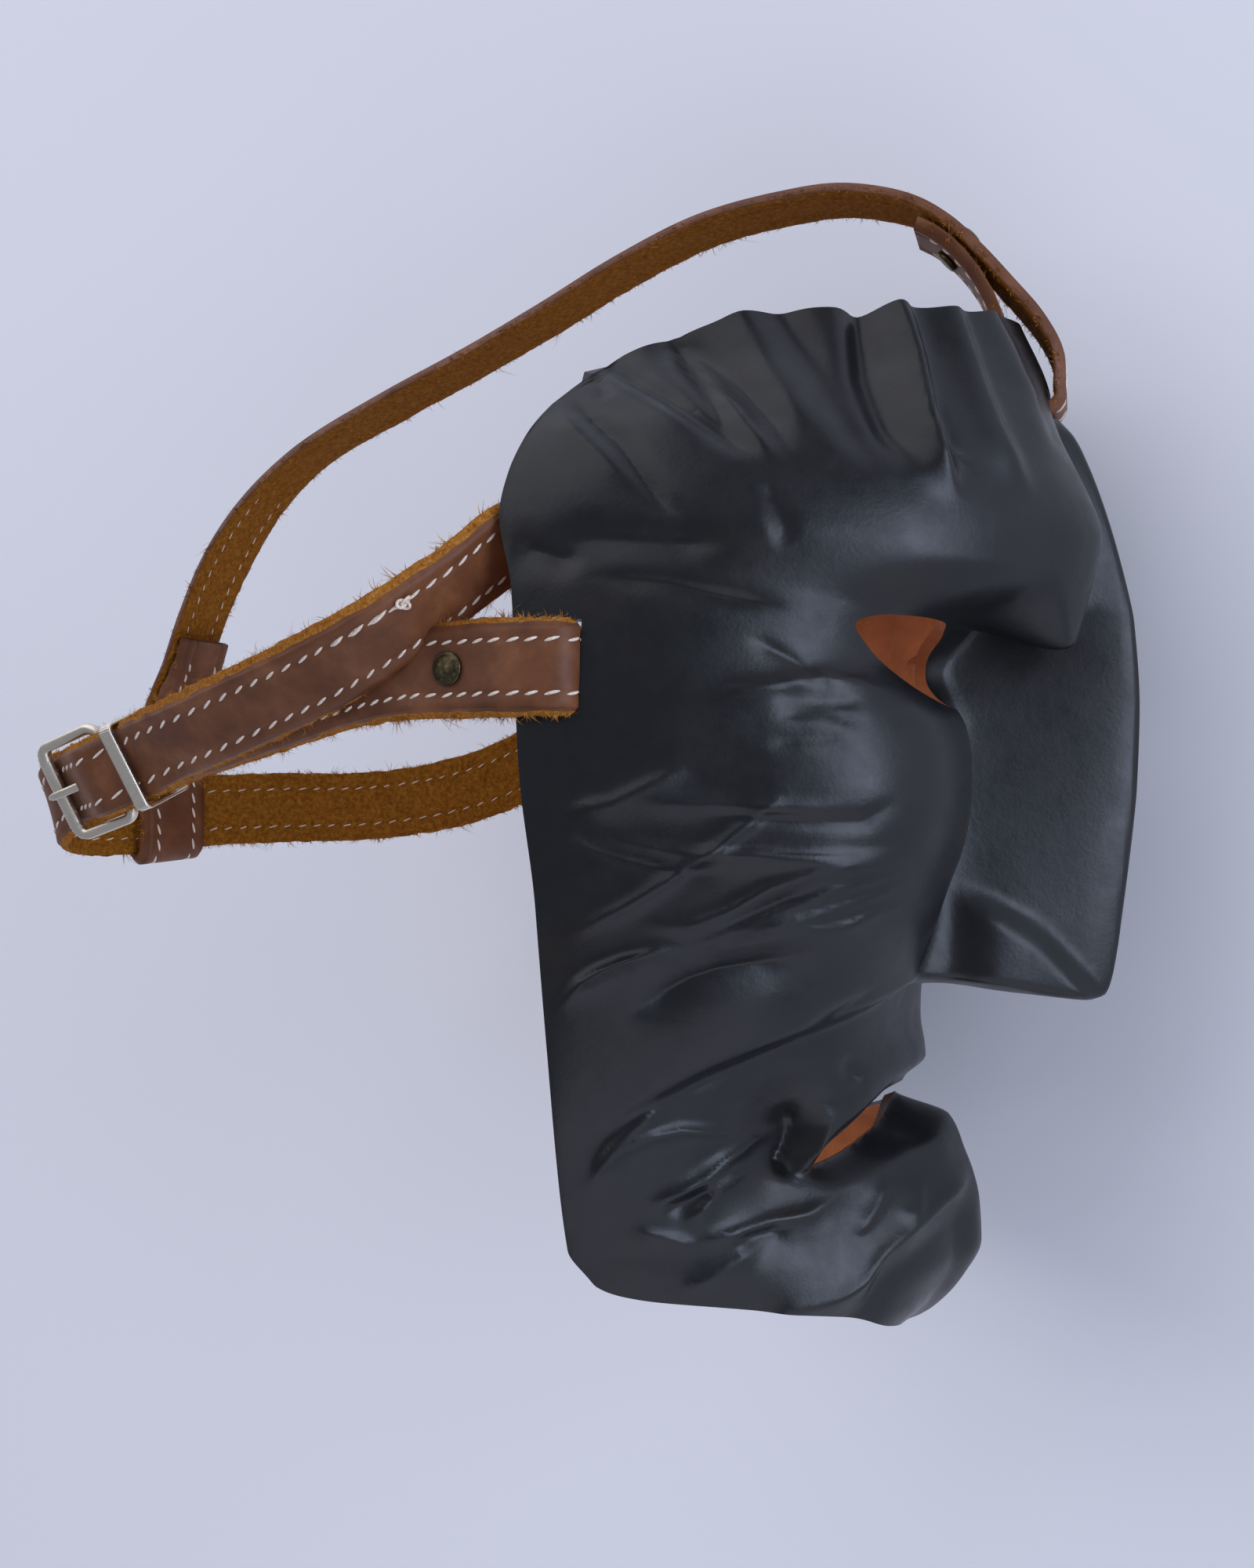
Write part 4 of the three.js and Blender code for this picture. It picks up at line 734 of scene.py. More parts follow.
def strap_mesh(name, way, grain_side, finishes, chance):
    """The section carried along the way, its raw edges made uneven and sloped out to the flesh side,
    with an end cap at each end. The finishes are those of the grain side, flesh side and edges."""
    rings, around = len(way["at"]), len(SECTION)
    side = SECTION[None, :, 0] * way["share"][:, None]
    out = np.repeat(SECTION[None, :, 1], rings, axis=0)
    ragged = chance.normal(0, 1, (rings, around))
    ragged = (ragged + np.roll(ragged, 1, 0) + np.roll(ragged, -1, 0)) / 1.7
    near_edge = ease(8.6, 9.9, np.abs(SECTION[:, 0]))[None, :]
    raw = np.where(SECTION[:, 1] * grain_side < 0.9, 1.0, 0.3)[None, :]
    side = side + np.sign(side) * near_edge * (EDGE_RAGGED * ragged * raw
                                               - EDGE_SLOPE * SECTION[None, :, 1] * grain_side)
    out = out + FLESH_RAGGED * chance.normal(0, 1, out.shape) * (SECTION[None, :, 1] * grain_side < 0)
    points = (way["at"][:, None] + way["wide"][:, None] * side[..., None]
              + way["face"][:, None] * out[..., None])
    quads = grid_faces(rings, around, closed=True)
    first, second = SECTION[quads[:, 0] % around], SECTION[quads[:, 1] % around]
    middle_out = (first + second)[:, 1] / 2 * grain_side
    at_edge = np.abs(first + second)[:, 0] / 2 > 9.3
    slots = np.where(at_edge & (middle_out < 0.9), EDGE_FINISH,
                     np.where(middle_out > 0, GRAIN_FINISH, FLESH_FINISH))
    half = around // 2
    threes, fours = [], []
    for ring, turned_over in ((0, False), (rings - 1, True)):
        ring_points = ring * around + np.arange(around)
        left, right = ring_points[1:half], ring_points[:half:-1]
        four = np.stack([left[:-1], right[:-1], right[1:], left[1:]], 1)
        three = np.array([[ring_points[0], right[0], left[0]], [ring_points[half], left[-1], right[-1]]])
        fours.append(four[:, ::-1] if turned_over else four)
        threes.append(three[:, ::-1] if turned_over else three)
    # The faces along the strap point inwards, and those of the two ends outwards
    faces = [quads[:, ::-1], np.concatenate(fours), np.concatenate(threes)]
    slots = np.concatenate([slots, np.full(len(faces[1]) + len(faces[2]), EDGE_FINISH)])
    return new_piece(name, laid(points.reshape(-1, 3)), faces, finishes, slots)


def length_near(way, place):
    """The length along the strap at which its middle comes nearest to a place."""
    return way["length"][np.argmin(np.linalg.norm(way["at"] - np.asarray(place, float), axis=1))]


# Stitches: waxed cream thread, in two rows 4.3 mm in from the edges, each stitch slanted a little
STITCH_SHARE = 0.77
STITCH_HALF = 0.37
STITCH_ROW = STRAP_WIDE / 2 - 4.3
STITCH_SUNK = 0.25
STITCH_AROUND = 6
STITCH_TAPER = np.array([0.15, 0.75, 1.0, 1.0, 1.0, 0.75, 0.15])
STITCH_SLANT = np.radians(16.0)
STITCH_WANDER = 0.1
SLANT_WANDER = 0.03
STITCH_STEPS = 4000
FLESH_THREAD_OUT = 1.4
FLESH_THREAD_THICK = 0.6


def round_angles(count):
    """Angles evenly spaced round a circle."""
    return np.arange(count) * 2 * np.pi / count


def stitch_row(way, side, out, pitch, chance, thick):
    """Capsules that lie along the strap: a ring of six carried along a low arch, once per stitch. The
    narrow ends go into the leather and stay open there. The pitch is a list of lengths along the strap
    with the distance from stitch to stitch at each."""
    places, pitches = np.array(pitch, float).T
    fine = np.linspace(places[0], places[-1], STITCH_STEPS)
    number = np.concatenate([[0], np.cumsum(np.diff(fine) / np.interp(fine[1:], places, pitches))])
    firsts = (np.interp(np.arange(0, number[-1]), number, fine)
              + chance.normal(0, STITCH_WANDER, int(np.ceil(number[-1]))))
    longs = (STITCH_SHARE * np.interp(firsts, places, pitches))[:, None, None]
    rings = len(STITCH_TAPER)
    share = np.linspace(0, 1, rings)[None, :, None]
    radius = STITCH_HALF * thick * STITCH_TAPER[None, :, None]
    angles = round_angles(STITCH_AROUND)[None, None, :]
    slant = -np.sign(out) * (STITCH_SLANT + chance.normal(0, SLANT_WANDER, len(firsts)))[:, None, None]
    length = firsts[:, None, None] + longs * share + 0 * angles
    across_way = side + (share - 0.5) * longs * np.sin(slant) + radius * np.cos(angles)
    rise = 0.5 * np.sin(np.pi * share) * STITCH_HALF * thick - STITCH_SUNK
    off = np.sign(out) * (abs(out) + rise + radius * np.sin(angles)) + 0 * longs
    points = along_way(way, length, across_way, off).reshape(-1, 3)
    one = grid_faces(rings, STITCH_AROUND, closed=True)
    one = one[:, ::-1] if out > 0 else one
    starts = rings * STITCH_AROUND * np.arange(len(firsts))
    return points, (one[None] + starts[:, None, None]).reshape(-1, 4)


def both_faces(grain_side, outer_row, inner_row):
    """Two rows of full stitches on the grain side, and two on the flesh side, sunk into its nap."""
    faces = ((STRAP_THICK / 2, outer_row, 1.0), (-FLESH_THREAD_OUT, inner_row, FLESH_THREAD_THICK))
    return [(side, out * grain_side, pitch, thick) for out, pitch, thick in faces
            for side in (STITCH_ROW, -STITCH_ROW)]


def stitched(name, way, rows, finish, chance):
    """All the stitches of one strap joined into one piece; rows are side, out, pitch and thickness."""
    points, faces, number = [], [], 0
    for side, out, pitch, thick in rows:
        more, quads = stitch_row(way, side, out, pitch, chance, thick)
        points.append(more)
        faces.append(quads + number)
        number += len(more)
    return new_piece(name, laid(np.concatenate(points)), np.concatenate(faces), [finish], None)


# Fibres: how many lean together, the share of tufts at the cut edges, and half a ribbon's width,
# which is wider than a real fibre so that it shows
TUFT_SIZE = 6
EDGE_SHARE = 0.74
FIBRE_HALF = 0.095


def fibres(name, way, grain_side, number, finish, chance):
    """Loose fibres from the cut edges and raw face: thin tapered ribbons in tufts that lean together,
    each bent by the square of its run. Lengths and their spreads are in millimetres."""
    tufts = number // TUFT_SIZE
    tuft = chance.integers(0, tufts, number)
    length = chance.uniform(1, way["length"][-1] - 1, tufts)[tuft] + chance.normal(0, 0.35, number)
    from_edge = (chance.uniform(0, 1, tufts) < EDGE_SHARE)[tuft]
    hand = np.where(chance.uniform(0, 1, tufts) < 0.5, -1.0, 1.0)[tuft]
    side = np.where(from_edge, hand * 9.85, hand * chance.uniform(0, 9.6, tufts)[tuft]
                    + chance.normal(0, 0.25, number))
    out = np.where(from_edge, -grain_side * chance.uniform(-0.3, 1.5, number), -grain_side * 1.45)
    reach = chance.gamma(2.2, 0.4, tufts)[tuft] * chance.uniform(0.4, 1.15, number)
    reach = np.where(from_edge, reach, 0.55 * reach)
    lean = chance.normal(0, 0.8, tufts)[tuft] + chance.normal(0, 0.35, number)
    lift = np.where(from_edge, chance.normal(0.25, 0.4, number), 0.7)
    curl = chance.normal(0, 0.5, number)
    share = np.array([0.0, 0.4, 0.75, 1.0])
    width = FIBRE_HALF * np.array([1.0, 0.8, 0.5, 0.1])
    run = share[None, :] * reach[:, None]
    bend = share[None, :] ** 2 * reach[:, None] * curl[:, None]
    push = np.where(from_edge, hand, 0.0)[:, None]
    rows = []
    for edge in (-1, 1):
        at_length = length[:, None] + run * lean[:, None] + bend + edge * width
        at_side = side[:, None] + push * run + 0.3 * bend
        at_out = out[:, None] - grain_side * run * lift[:, None] + 0.4 * bend
        rows.append(along_way(way, at_length, at_side, at_out))
    points = np.stack(rows, axis=2).reshape(-1, 3)
    faces = (grid_faces(4, 2)[None] + 8 * np.arange(number)[:, None, None]).reshape(-1, 4)
    return new_piece(name, laid(points), faces, [finish], None)


# Brown strap leather: a smooth, dyed grain side with faint pores and rubbed, lighter patches.
strap_grain, shader, mm = new_material("brown_strap_leather_grain")
rub = add(strap_grain, "ShaderNodeTexNoise", "Fac", {"Scale": 0.09, "Detail": 8.0, "Roughness": 0.62},
          {"Vector": mm})
tone = add(strap_grain, "ShaderNodeValToRGB", "Color",
           {"stops": [(0.3, "#593119"), (0.52, "#6D4125"), (0.75, "#865536")]}, {"Fac": rub})
pores = add(strap_grain, "ShaderNodeTexNoise", "Fac", {"Scale": 1.3, "Detail": 7.0, "Roughness": 0.6},
            {"Vector": mm})
pore_bump = add(strap_grain, "ShaderNodeBump", "Normal", {"Strength": 0.3, "Distance": 0.0003},
                {"Height": pores})
fit(strap_grain, shader, {"Roughness": 0.52, "IOR": 1.4}, {"Base Color": tone, "Normal": pore_bump})

# The flesh side: raw, golden-brown and fibrous, matted into tufts a little over 1 mm across, with
# next to no shine.
strap_flesh, shader, mm = new_material("raw_strap_flesh_side")
matted = add(strap_flesh, "ShaderNodeTexNoise", "Fac", {"Scale": 0.8, "Detail": 9.0, "Roughness": 0.75},
             {"Vector": mm})
gold = add(strap_flesh, "ShaderNodeValToRGB", "Color",
           {"stops": [(0.3, "#6B3D0C"), (0.48, "#935A18"), (0.68, "#B87F2C")]}, {"Fac": matted})
tuft_bump = add(strap_flesh, "ShaderNodeBump", "Normal", {"Strength": 0.9, "Distance": 0.0008},
                {"Height": matted})
fit(strap_flesh, shader, {"Roughness": 0.9, "IOR": 1.2}, {"Base Color": gold, "Normal": tuft_bump})

# The cut edges: undyed orange-tan fibre, rough and matt.
strap_edge, shader, mm = new_material("cut_strap_edge")
fray = add(strap_edge, "ShaderNodeTexNoise", "Fac", {"Scale": 1.1, "Detail": 8.0, "Roughness": 0.7},
           {"Vector": mm})
orange = add(strap_edge, "ShaderNodeValToRGB", "Color",
             {"stops": [(0.3, "#7A4316"), (0.5, "#A56A28"), (0.7, "#C38A40")]}, {"Fac": fray})
fray_bump = add(strap_edge, "ShaderNodeBump", "Normal", {"Strength": 0.8, "Distance": 0.0005},
                {"Height": fray})
fit(strap_edge, shader, {"Roughness": 0.88, "IOR": 1.2}, {"Base Color": orange, "Normal": fray_bump})
strap_finishes = [strap_grain, strap_flesh, strap_edge]

# Loose fibres of the same hide, pale where they catch the light.
loose_fibre, shader, mm = new_material("loose_hide_fibre")
hair = add(loose_fibre, "ShaderNodeTexNoise", "Fac", {"Scale": 0.7, "Detail": 4.0}, {"Vector": mm})
straw = add(loose_fibre, "ShaderNodeValToRGB", "Color",
            {"stops": [(0.35, "#8A5218"), (0.5, "#A96E2A"), (0.68, "#CC9650")]}, {"Fac": hair})
fit(loose_fibre, shader, {"Roughness": 0.8, "IOR": 1.25}, {"Base Color": straw})

# Waxed cream thread, laid in two plies about 0.5 mm apart.
cream_thread, shader, mm = new_material("waxed_cream_thread")
plies = add(cream_thread, "ShaderNodeTexNoise", "Fac", {"Scale": 2.0, "Detail": 4.0}, {"Vector": mm})
cream = add(cream_thread, "ShaderNodeValToRGB", "Color", {"stops": [(0.3, "#CDB8A2"), (0.6, "#F0E2D2")]},
            {"Fac": plies})
ply_bump = add(cream_thread, "ShaderNodeBump", "Normal", {"Strength": 0.5, "Distance": 0.0002},
               {"Height": plies})
fit(cream_thread, shader, {"Roughness": 0.6}, {"Base Color": cream, "Normal": ply_bump})


# Where the buckle is: a front bar and a heel bar, the way between them and the outward way
FRONT_BAR = np.array([-149.0, -2.6, 34.5])
BUCKLE_WAY = unit(np.array([22.0, 6.2, 8.5]))
BAR_GAP = 24.4
BAR_THICK = 2.6
HEEL_BAR = FRONT_BAR + BUCKLE_WAY * BAR_GAP
bar_hint = np.array([-0.35, 0.91, 0.23])
BAR_WAY = unit(bar_hint - BUCKLE_WAY * (bar_hint @ BUCKLE_WAY))
BUCKLE_OUT = unit(np.cross(BUCKLE_WAY, BAR_WAY))
HEEL_RADIUS = BAR_THICK / 2 * np.sqrt(2) + CLEAR_GAP + STRAP_THICK / 2


def on_buckle(along, out, side=0.0):
    """A point by the buckle: along its length, outward from the bars, and sideways along a bar."""
    return FRONT_BAR + BUCKLE_WAY * along + BUCKLE_OUT * out + BAR_WAY * side


# How far out the straps lie inside and outside the rim at the side slots
SLOT_TURN_IN = 86.2
SLOT_TURN_OUT = 94.0
SLOT_TURN_RADIUS = (SLOT_TURN_OUT - SLOT_TURN_IN) / 2
SLOT_TURN_CENTRE = SLOT_FRONT - SLOT_TURN_RADIUS - STRAP_THICK / 2 - 0.5


def slot_fold(hand):
    """The strap's end inside the rim, its turn through the slot, and its way back over the rim."""
    centre = np.array([SLOT_TURN_CENTRE, SLOT_HEIGHT, hand * (SLOT_TURN_IN + SLOT_TURN_RADIUS)])
    return [stop([-27, SLOT_HEIGHT, hand * 83.4], UPRIGHT),
            stop([-15, SLOT_HEIGHT, hand * 86.3], UPRIGHT),
            stop([-3, SLOT_HEIGHT, hand * SLOT_TURN_IN], UPRIGHT),
            *half_turn(centre, np.array([0, 0, -hand]), FORWARD, UPRIGHT, SLOT_TURN_RADIUS),
            stop([-2, SLOT_HEIGHT, hand * SLOT_TURN_OUT], UPRIGHT),
            stop([-9, SLOT_HEIGHT, hand * 92.0], UPRIGHT)]


# Right strap: strap leather, about 240 mm long. Its end lies inside the rim, and it turns out through
# the right slot, is riveted to itself over the rim, and runs back to the buckle's heel bar, where it
# folds under itself
right_run = [stop([-15, SLOT_HEIGHT, 90.0], UPRIGHT), stop([-28, 24.8, 86.8], UPRIGHT),
             stop([-45, 22.6, 82.4], [-0.26, 0.93, 0.25]), stop([-65, 17.6, 75.6], [-0.36, 0.85, 0.39]),
             stop([-85, 12.8, 66.2], [-0.41, 0.79, 0.45]), stop([-102, 9.4, 56.2], [-0.42, 0.8, 0.44])]
fold_back = [stop(on_buckle(BAR_GAP + 11, -LAYER_STEP / 2 - 0.1), BAR_WAY),
             *beside(right_run[:-3:-1], LAYER_STEP + 0.1)[:1]]
right_stops = [*slot_fold(1), *right_run, stop(on_buckle(BAR_GAP + 11, LAYER_STEP / 2 + 0.2), BAR_WAY),
               *half_turn(HEEL_BAR, BUCKLE_OUT, -BUCKLE_WAY, BAR_WAY, HEEL_RADIUS), *fold_back]
right_way = strap_way(right_stops)
chance = np.random.default_rng(7)
right_strap = strap_mesh("right_strap_leather", right_way, 1, strap_finishes, chance)
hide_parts("right_strap")
right_long = right_way["length"][-1]
outer_row = [(4, 4.2), (right_long - 30, 4.2)]
inner_row = [(40, 4.4), (right_long - 30, 4.4)]
stitched("right_strap_stitches", right_way, both_faces(1, outer_row, inner_row), cream_thread, chance)
fibres("right_strap_fibres", right_way, 1, 11000, loose_fibre, chance)

# Rear strap: strap leather, about 500 mm long. It is riveted through the left slot, and goes round the
# back of the head, under the buckle's front bar, over the heel bar, and on as a tail over the right
# strap to its pointed end inside the right rim
rear_run = [stop([-15, SLOT_HEIGHT, -90.0], UPRIGHT), stop([-28, 22.0, -86.0], UPRIGHT),
            stop([-41, 13.5, -79.5], [0.08, 0.99, -0.1]), stop([-55, 4.5, -72.0], [0.12, 0.98, -0.16]),
            stop([-72, -2.6, -63.0], [0.05, 0.98, -0.2]), stop([-95, -6.8, -51.0], [0, 0.98, -0.2]),
            stop([-121, -7.4, -36.5], [0, 0.99, -0.12]), stop([-140, -8.2, -22.5], UPRIGHT),
            stop([-153, -10.2, -8.5], UPRIGHT), stop([-161.5, -10.0, 6.0], [-0.1, 0.99, 0.02]),
            stop([-160.5, -7.6, 19.5], [-0.22, 0.97, 0.08])]
UNDER_BAR = -BAR_THICK / 2 - CLEAR_GAP - STRAP_THICK / 2
buckle_run = [stop(on_buckle(-4, UNDER_BAR - 0.3), BAR_WAY), stop(on_buckle(2, UNDER_BAR - 0.1), BAR_WAY),
              stop(on_buckle(BAR_GAP / 2, 2.0), BAR_WAY),
              stop(on_buckle(BAR_GAP - 1, HEEL_RADIUS + LAYER_STEP + 0.1), BAR_WAY),
              stop(on_buckle(BAR_GAP + 11, LAYER_STEP * 1.5 + 0.4), BAR_WAY)]
# The tail lies over the right strap, its upper edge leaning outwards, and dips behind the rim
tail_run = [stop([-104, 8.8, 60.8], [-0.46, 0.77, 0.44]), stop([-87.2, 12.5, 71.8], [-0.47, 0.73, 0.5]),
            stop([-67.2, 18, 82], [-0.47, 0.69, 0.55]), stop([-47, 24.3, 90.8], [-0.45, 0.62, 0.65]),
            stop([-28.5, 32.7, 94.8], [-0.27, 0.57, 0.78]), stop([-17, 42, 88.4], [-0.01, 0.67, 0.75]),
            stop([-6, 53.4, 76.8], [-0.01, 0.77, 0.64]), stop([4, 57, 70.5], [-0.07, 0.84, 0.55]),
            stop([15, 60.5, 68.5], [-0.19, 0.87, 0.45], 0.9),
            stop([19.5, 62, 67.8], [-0.19, 0.87, 0.45], 0.45)]
rear_stops = [*slot_fold(-1), *rear_run, *buckle_run, *tail_run]
rear_way = strap_way(rear_stops)
rear_strap = strap_mesh("rear_strap_leather", rear_way, -1, strap_finishes, chance)
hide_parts("rear_strap")
rear_long = rear_way["length"][-1]
keeper_length = length_near(rear_way, tail_run[0][0])
tail_pitch = [(length_near(rear_way, buckle_run[0][0]), 6.4), (keeper_length, 7.4),
              (length_near(rear_way, tail_run[2][0]), 6.2), (length_near(rear_way, tail_run[4][0]), 4.4),
              (rear_long - 8, 4.2)]
outer_row = [(4, 4.5), (tail_pitch[0][0] - 20, 4.5), *tail_pitch]
inner_row = [(40, 4.5), *outer_row[1:]]
# The thread is doubled over the last stitches before the knot on the tail's upper row
doubled = length_near(rear_way, [-38, 28.5, 94])
knot_length = length_near(rear_way, [-24, 36.5, 92])
doubled_row = (STITCH_ROW, -1.7, [(doubled, 4.9), (knot_length - 0.5, 4.9)], 1.35)
stitched("rear_strap_stitches", rear_way, [*both_faces(-1, outer_row, inner_row), doubled_row],
         cream_thread, chance)
fibres("rear_strap_fibres", rear_way, -1, 18000, loose_fibre, chance)

# Crown strap: strap leather, about 520 mm long. It is riveted to itself behind the forehead, and goes
# through the slot and over the crown, down to a riveted loop that the rear strap runs through
slot_turn_at = brow_edge - brow_out * HIDE_THICK / 2 - brow_way * 0.4
BROW_RADIUS = HIDE_THICK / 2 + CLEAR_GAP + 0.5 + STRAP_THICK / 2
# The loop hangs a little askew on the rear strap
loop_at = (rear_run[7][0] + rear_run[8][0]) / 2
loop_wide = unit(np.array([0.5, 0.08, -0.86]))
rear_out = unit(np.array([loop_wide[2], 0, -loop_wide[0]]))
LOOP_HALF = STRAP_WIDE / 2 + CLEAR_GAP + SIDE_PLAY + STRAP_THICK / 2
LOOP_INNER = 4.4
LOOP_RADIUS = 4.3


def on_loop(up, out):
    """A point by the loop: up from the rear strap's middle and outward from its face."""
    return loop_at + UPRIGHT * up + rear_out * out


crown_stops = [
    stop([77.3, 140.3, 0], ACROSS_HEAD), stop([82.2, 137.3, 0], ACROSS_HEAD),
    stop([88.9, 130.7, 0], ACROSS_HEAD), stop([94.6, 121.6, 0], ACROSS_HEAD),
    stop(slot_turn_at + brow_way * 9 - brow_out * BROW_RADIUS, ACROSS_HEAD),
    *half_turn(slot_turn_at, -brow_out, -brow_way, ACROSS_HEAD, BROW_RADIUS),
    stop([111.6, 105.6, 0], ACROSS_HEAD), stop([107.2, 114.6, 0], ACROSS_HEAD),
    stop([99.8, 124.0, 0], ACROSS_HEAD), stop([91.8, 133.4, 0], ACROSS_HEAD),
    stop([84.6, 140.6, 0], ACROSS_HEAD), stop([74.9, 146.8, -0.5], ACROSS_HEAD),
    stop([58.4, 151.0, -1], ACROSS_HEAD), stop([41.9, 150.6, -2], ACROSS_HEAD),
    stop([20.7, 147.0, -3], ACROSS_HEAD), stop([-1, 138.6, -4], ACROSS_HEAD),
    stop([-23.5, 127.4, -5], ACROSS_HEAD), stop([-47, 116.9, -7], ACROSS_HEAD),
    stop([-71, 107.0, -9], [0.02, 0, -1]), stop([-98, 94.4, -11.5], [0.04, 0.05, -1]),
    stop([-114.8, 81.0, -13.5], [0.12, 0.05, -0.99]), stop([-126.5, 66.0, -15.0], [0.2, 0.05, -0.98]),
    stop([-135.4, 49.0, -16.0], [0.16, 0.05, -0.98]), stop([-141.2, 34.0, -17.0], [0.2, 0.05, -0.98]),
    stop(on_loop(28, -1.7), [0.35, 0.06, -0.93]), stop(on_loop(15, 1.8), loop_wide),
    stop(on_loop(4, 2 * LOOP_RADIUS - LOOP_INNER - 0.1), loop_wide)]
# The free end lies on the strap's inner face, a little to one side
hanging = strap_way(crown_stops, 0.5)
flap = []
for rise in (31, 42, 53):
    off_level = np.abs(hanging["at"][:, 1] - loop_at[1] - rise) + 999 * (hanging["at"][:, 0] > -100)
    near = np.argmin(off_level)
    flap.append(stop(hanging["at"][near] - hanging["face"][near] * (LAYER_STEP + 0.4)
                     + hanging["wide"][near] * 1.2, hanging["wide"][near]))
crown_stops += [
    *half_turn(on_loop(-LOOP_HALF + LOOP_RADIUS, LOOP_RADIUS - LOOP_INNER), rear_out, -UPRIGHT, loop_wide,
               LOOP_RADIUS),
    stop(on_loop(6, -LOOP_INNER), loop_wide), stop(on_loop(15, -LOOP_INNER + 0.2), loop_wide), *flap]
crown_way = strap_way(crown_stops)
# This strap's cut edges were dyed with the grain side
crown_finishes = [strap_grain, strap_flesh, strap_grain]
crown_strap = strap_mesh("crown_strap_leather", crown_way, 1, crown_finishes, chance)
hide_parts("crown_strap")
crown_long = crown_way["length"][-1]
# On the flesh side the thread is sunk into the nap over the crown, and shows from the back of the
# head down
thread_shows = length_near(crown_way, [-112, 84, -13])
outer_row = [(4, 4.4), (crown_long - 6, 4.4)]
inner_row = [(thread_shows, 4.4), (crown_long - 30, 4.4)]
stitched("crown_strap_stitches", crown_way, both_faces(1, outer_row, inner_row), cream_thread, chance)
fibres("crown_strap_fibres", crown_way, 1, 15000, loose_fibre, chance)


# Nickel: the buckle, its prong and the keeper are nickel-plated steel, bright on the rounds and
# dulled by handling, with fine scratches about half a millimetre apart.
nickel, shader, mm = new_material("nickel_plated_steel")
tarnish = add(nickel, "ShaderNodeTexNoise", "Fac", {"Scale": 0.5, "Detail": 6.0, "Roughness": 0.6},
              {"Vector": mm})
dull = add(nickel, "ShaderNodeMapRange", "Result",
           {"From Min": 0.3, "From Max": 0.7, "To Min": 0.26, "To Max": 0.46}, {"Value": tarnish})
scratch = add(nickel, "ShaderNodeTexNoise", "Fac", {"Scale": 2.0, "Detail": 5.0}, {"Vector": mm})
scratch_bump = add(nickel, "ShaderNodeBump", "Normal", {"Strength": 0.12, "Distance": 0.0002},
                   {"Height": scratch})
fit(nickel, shader, {"Base Color": colour("#E2DBC9"), "Metallic": 1.0},
    {"Roughness": dull, "Normal": scratch_bump})


def carried(name, path, first, second, section, finish, closed):
    """A section (pairs of first and second way) carried along a path, closed on itself or capped."""
    rings, around = len(path), section.shape[-2]
    section = np.broadcast_to(section, (rings, around, 2))
    points = path[:, None] + first[:, None] * section[..., :1] + second[:, None] * section[..., 1:]
    points = points.reshape(-1, 3)
    faces = grid_faces(rings, around, closed=True)
    if closed:
        last = np.arange(around) + (rings - 1) * around
        faces = np.concatenate([faces, np.stack([last, np.roll(last, -1), np.roll(np.arange(around), -1),
                                                 np.arange(around)], 1)])
    parts = [faces]
    if not closed:
        ends = np.stack([points[:around].mean(0), points[-around:].mean(0)])
        points = np.concatenate([points, ends])
        ring = np.arange(around)
        parts.append(np.stack([np.roll(ring, -1), ring, np.full(around, len(points) - 2)], 1))
        ring = ring + (rings - 1) * around
        parts.append(np.stack([ring, np.roll(ring, -1), np.full(around, len(points) - 1)], 1))
    piece = new_piece(name, laid(points), parts, [finish], None)
    outward(piece)
    return piece


def outward(piece):
    """Turns the faces round where the closed mesh holds a negative volume."""
    mesh = piece.data
    mesh.calc_loop_triangles()
    co = np.zeros(len(mesh.vertices) * 3)
    mesh.vertices.foreach_get("co", co)
    co = co.reshape(-1, 3)
    corners = np.zeros(len(mesh.loop_triangles) * 3, np.int32)
    mesh.loop_triangles.foreach_get("vertices", corners)
    a, b, c = (co[corners.reshape(-1, 3)[:, k]] for k in range(3))
    if np.einsum("ij,ij->i", a, np.cross(b, c)).sum() < 0:
        mesh.flip_normals()


FRAME_WIDE = 28.4
FRAME_CORNER = 4.2


def rounded_loop(left, right, half, radius, count):
    """Points round a rectangle with round corners, evenly spaced along it: x, y and the outward way."""
    corners = [(right - radius, half - radius, 0), (left + radius, half - radius, 90),
               (left + radius, -half + radius, 180), (right - radius, -half + radius, 270)]
    points, ways = [], []
    for x, y, start in corners:
        angle = np.radians(start + np.linspace(0, 90, 13))
        points.append(np.stack([x + radius * np.cos(angle), y + radius * np.sin(angle)], 1))
        ways.append(np.stack([np.cos(angle), np.sin(angle)], 1))
    points, ways = np.concatenate(points), np.concatenate(ways)
    points, ways = np.vstack([points, points[:1]]), np.vstack([ways, ways[:1]])
    length = np.concatenate([[0], np.cumsum(np.hypot(*np.diff(points, axis=0).T))])
    at = np.linspace(0, length[-1], count, endpoint=False)
    return read_off(at, length, points), unit(read_off(at, length, ways))


# The frame: a cast ring with bevelled side bars and a wider front bar, which has fine ribs on its
# outer half. The right strap's fold holds its heel bar
FRAME_POINTS = 900
BAR_RIB_PITCH = 0.8
BAR_RIB_DEEP = 0.12
loop, loop_out = rounded_loop(0, BAR_GAP, (FRAME_WIDE - BAR_THICK) / 2, FRAME_CORNER, FRAME_POINTS)
front = ease(4.0, 0.5, loop[:, 0]) * ease(13.2, 11.0, np.abs(loop[:, 1]))
ribs = BAR_RIB_DEEP * front * (0.5 + 0.5 * np.cos(loop[:, 1] * 2 * np.pi / BAR_RIB_PITCH))
angles = round_angles(20)
bevel_wide = np.sign(np.cos(angles)) * np.abs(np.cos(angles)) ** 0.75
bevel_thick = np.sign(np.sin(angles)) * np.abs(np.sin(angles)) ** 0.75
half_wide = (1.45 + 0.75 * front)[:, None]
rib_cut = ribs[:, None] * ease(-0.25, 0.35, np.cos(angles))[None]
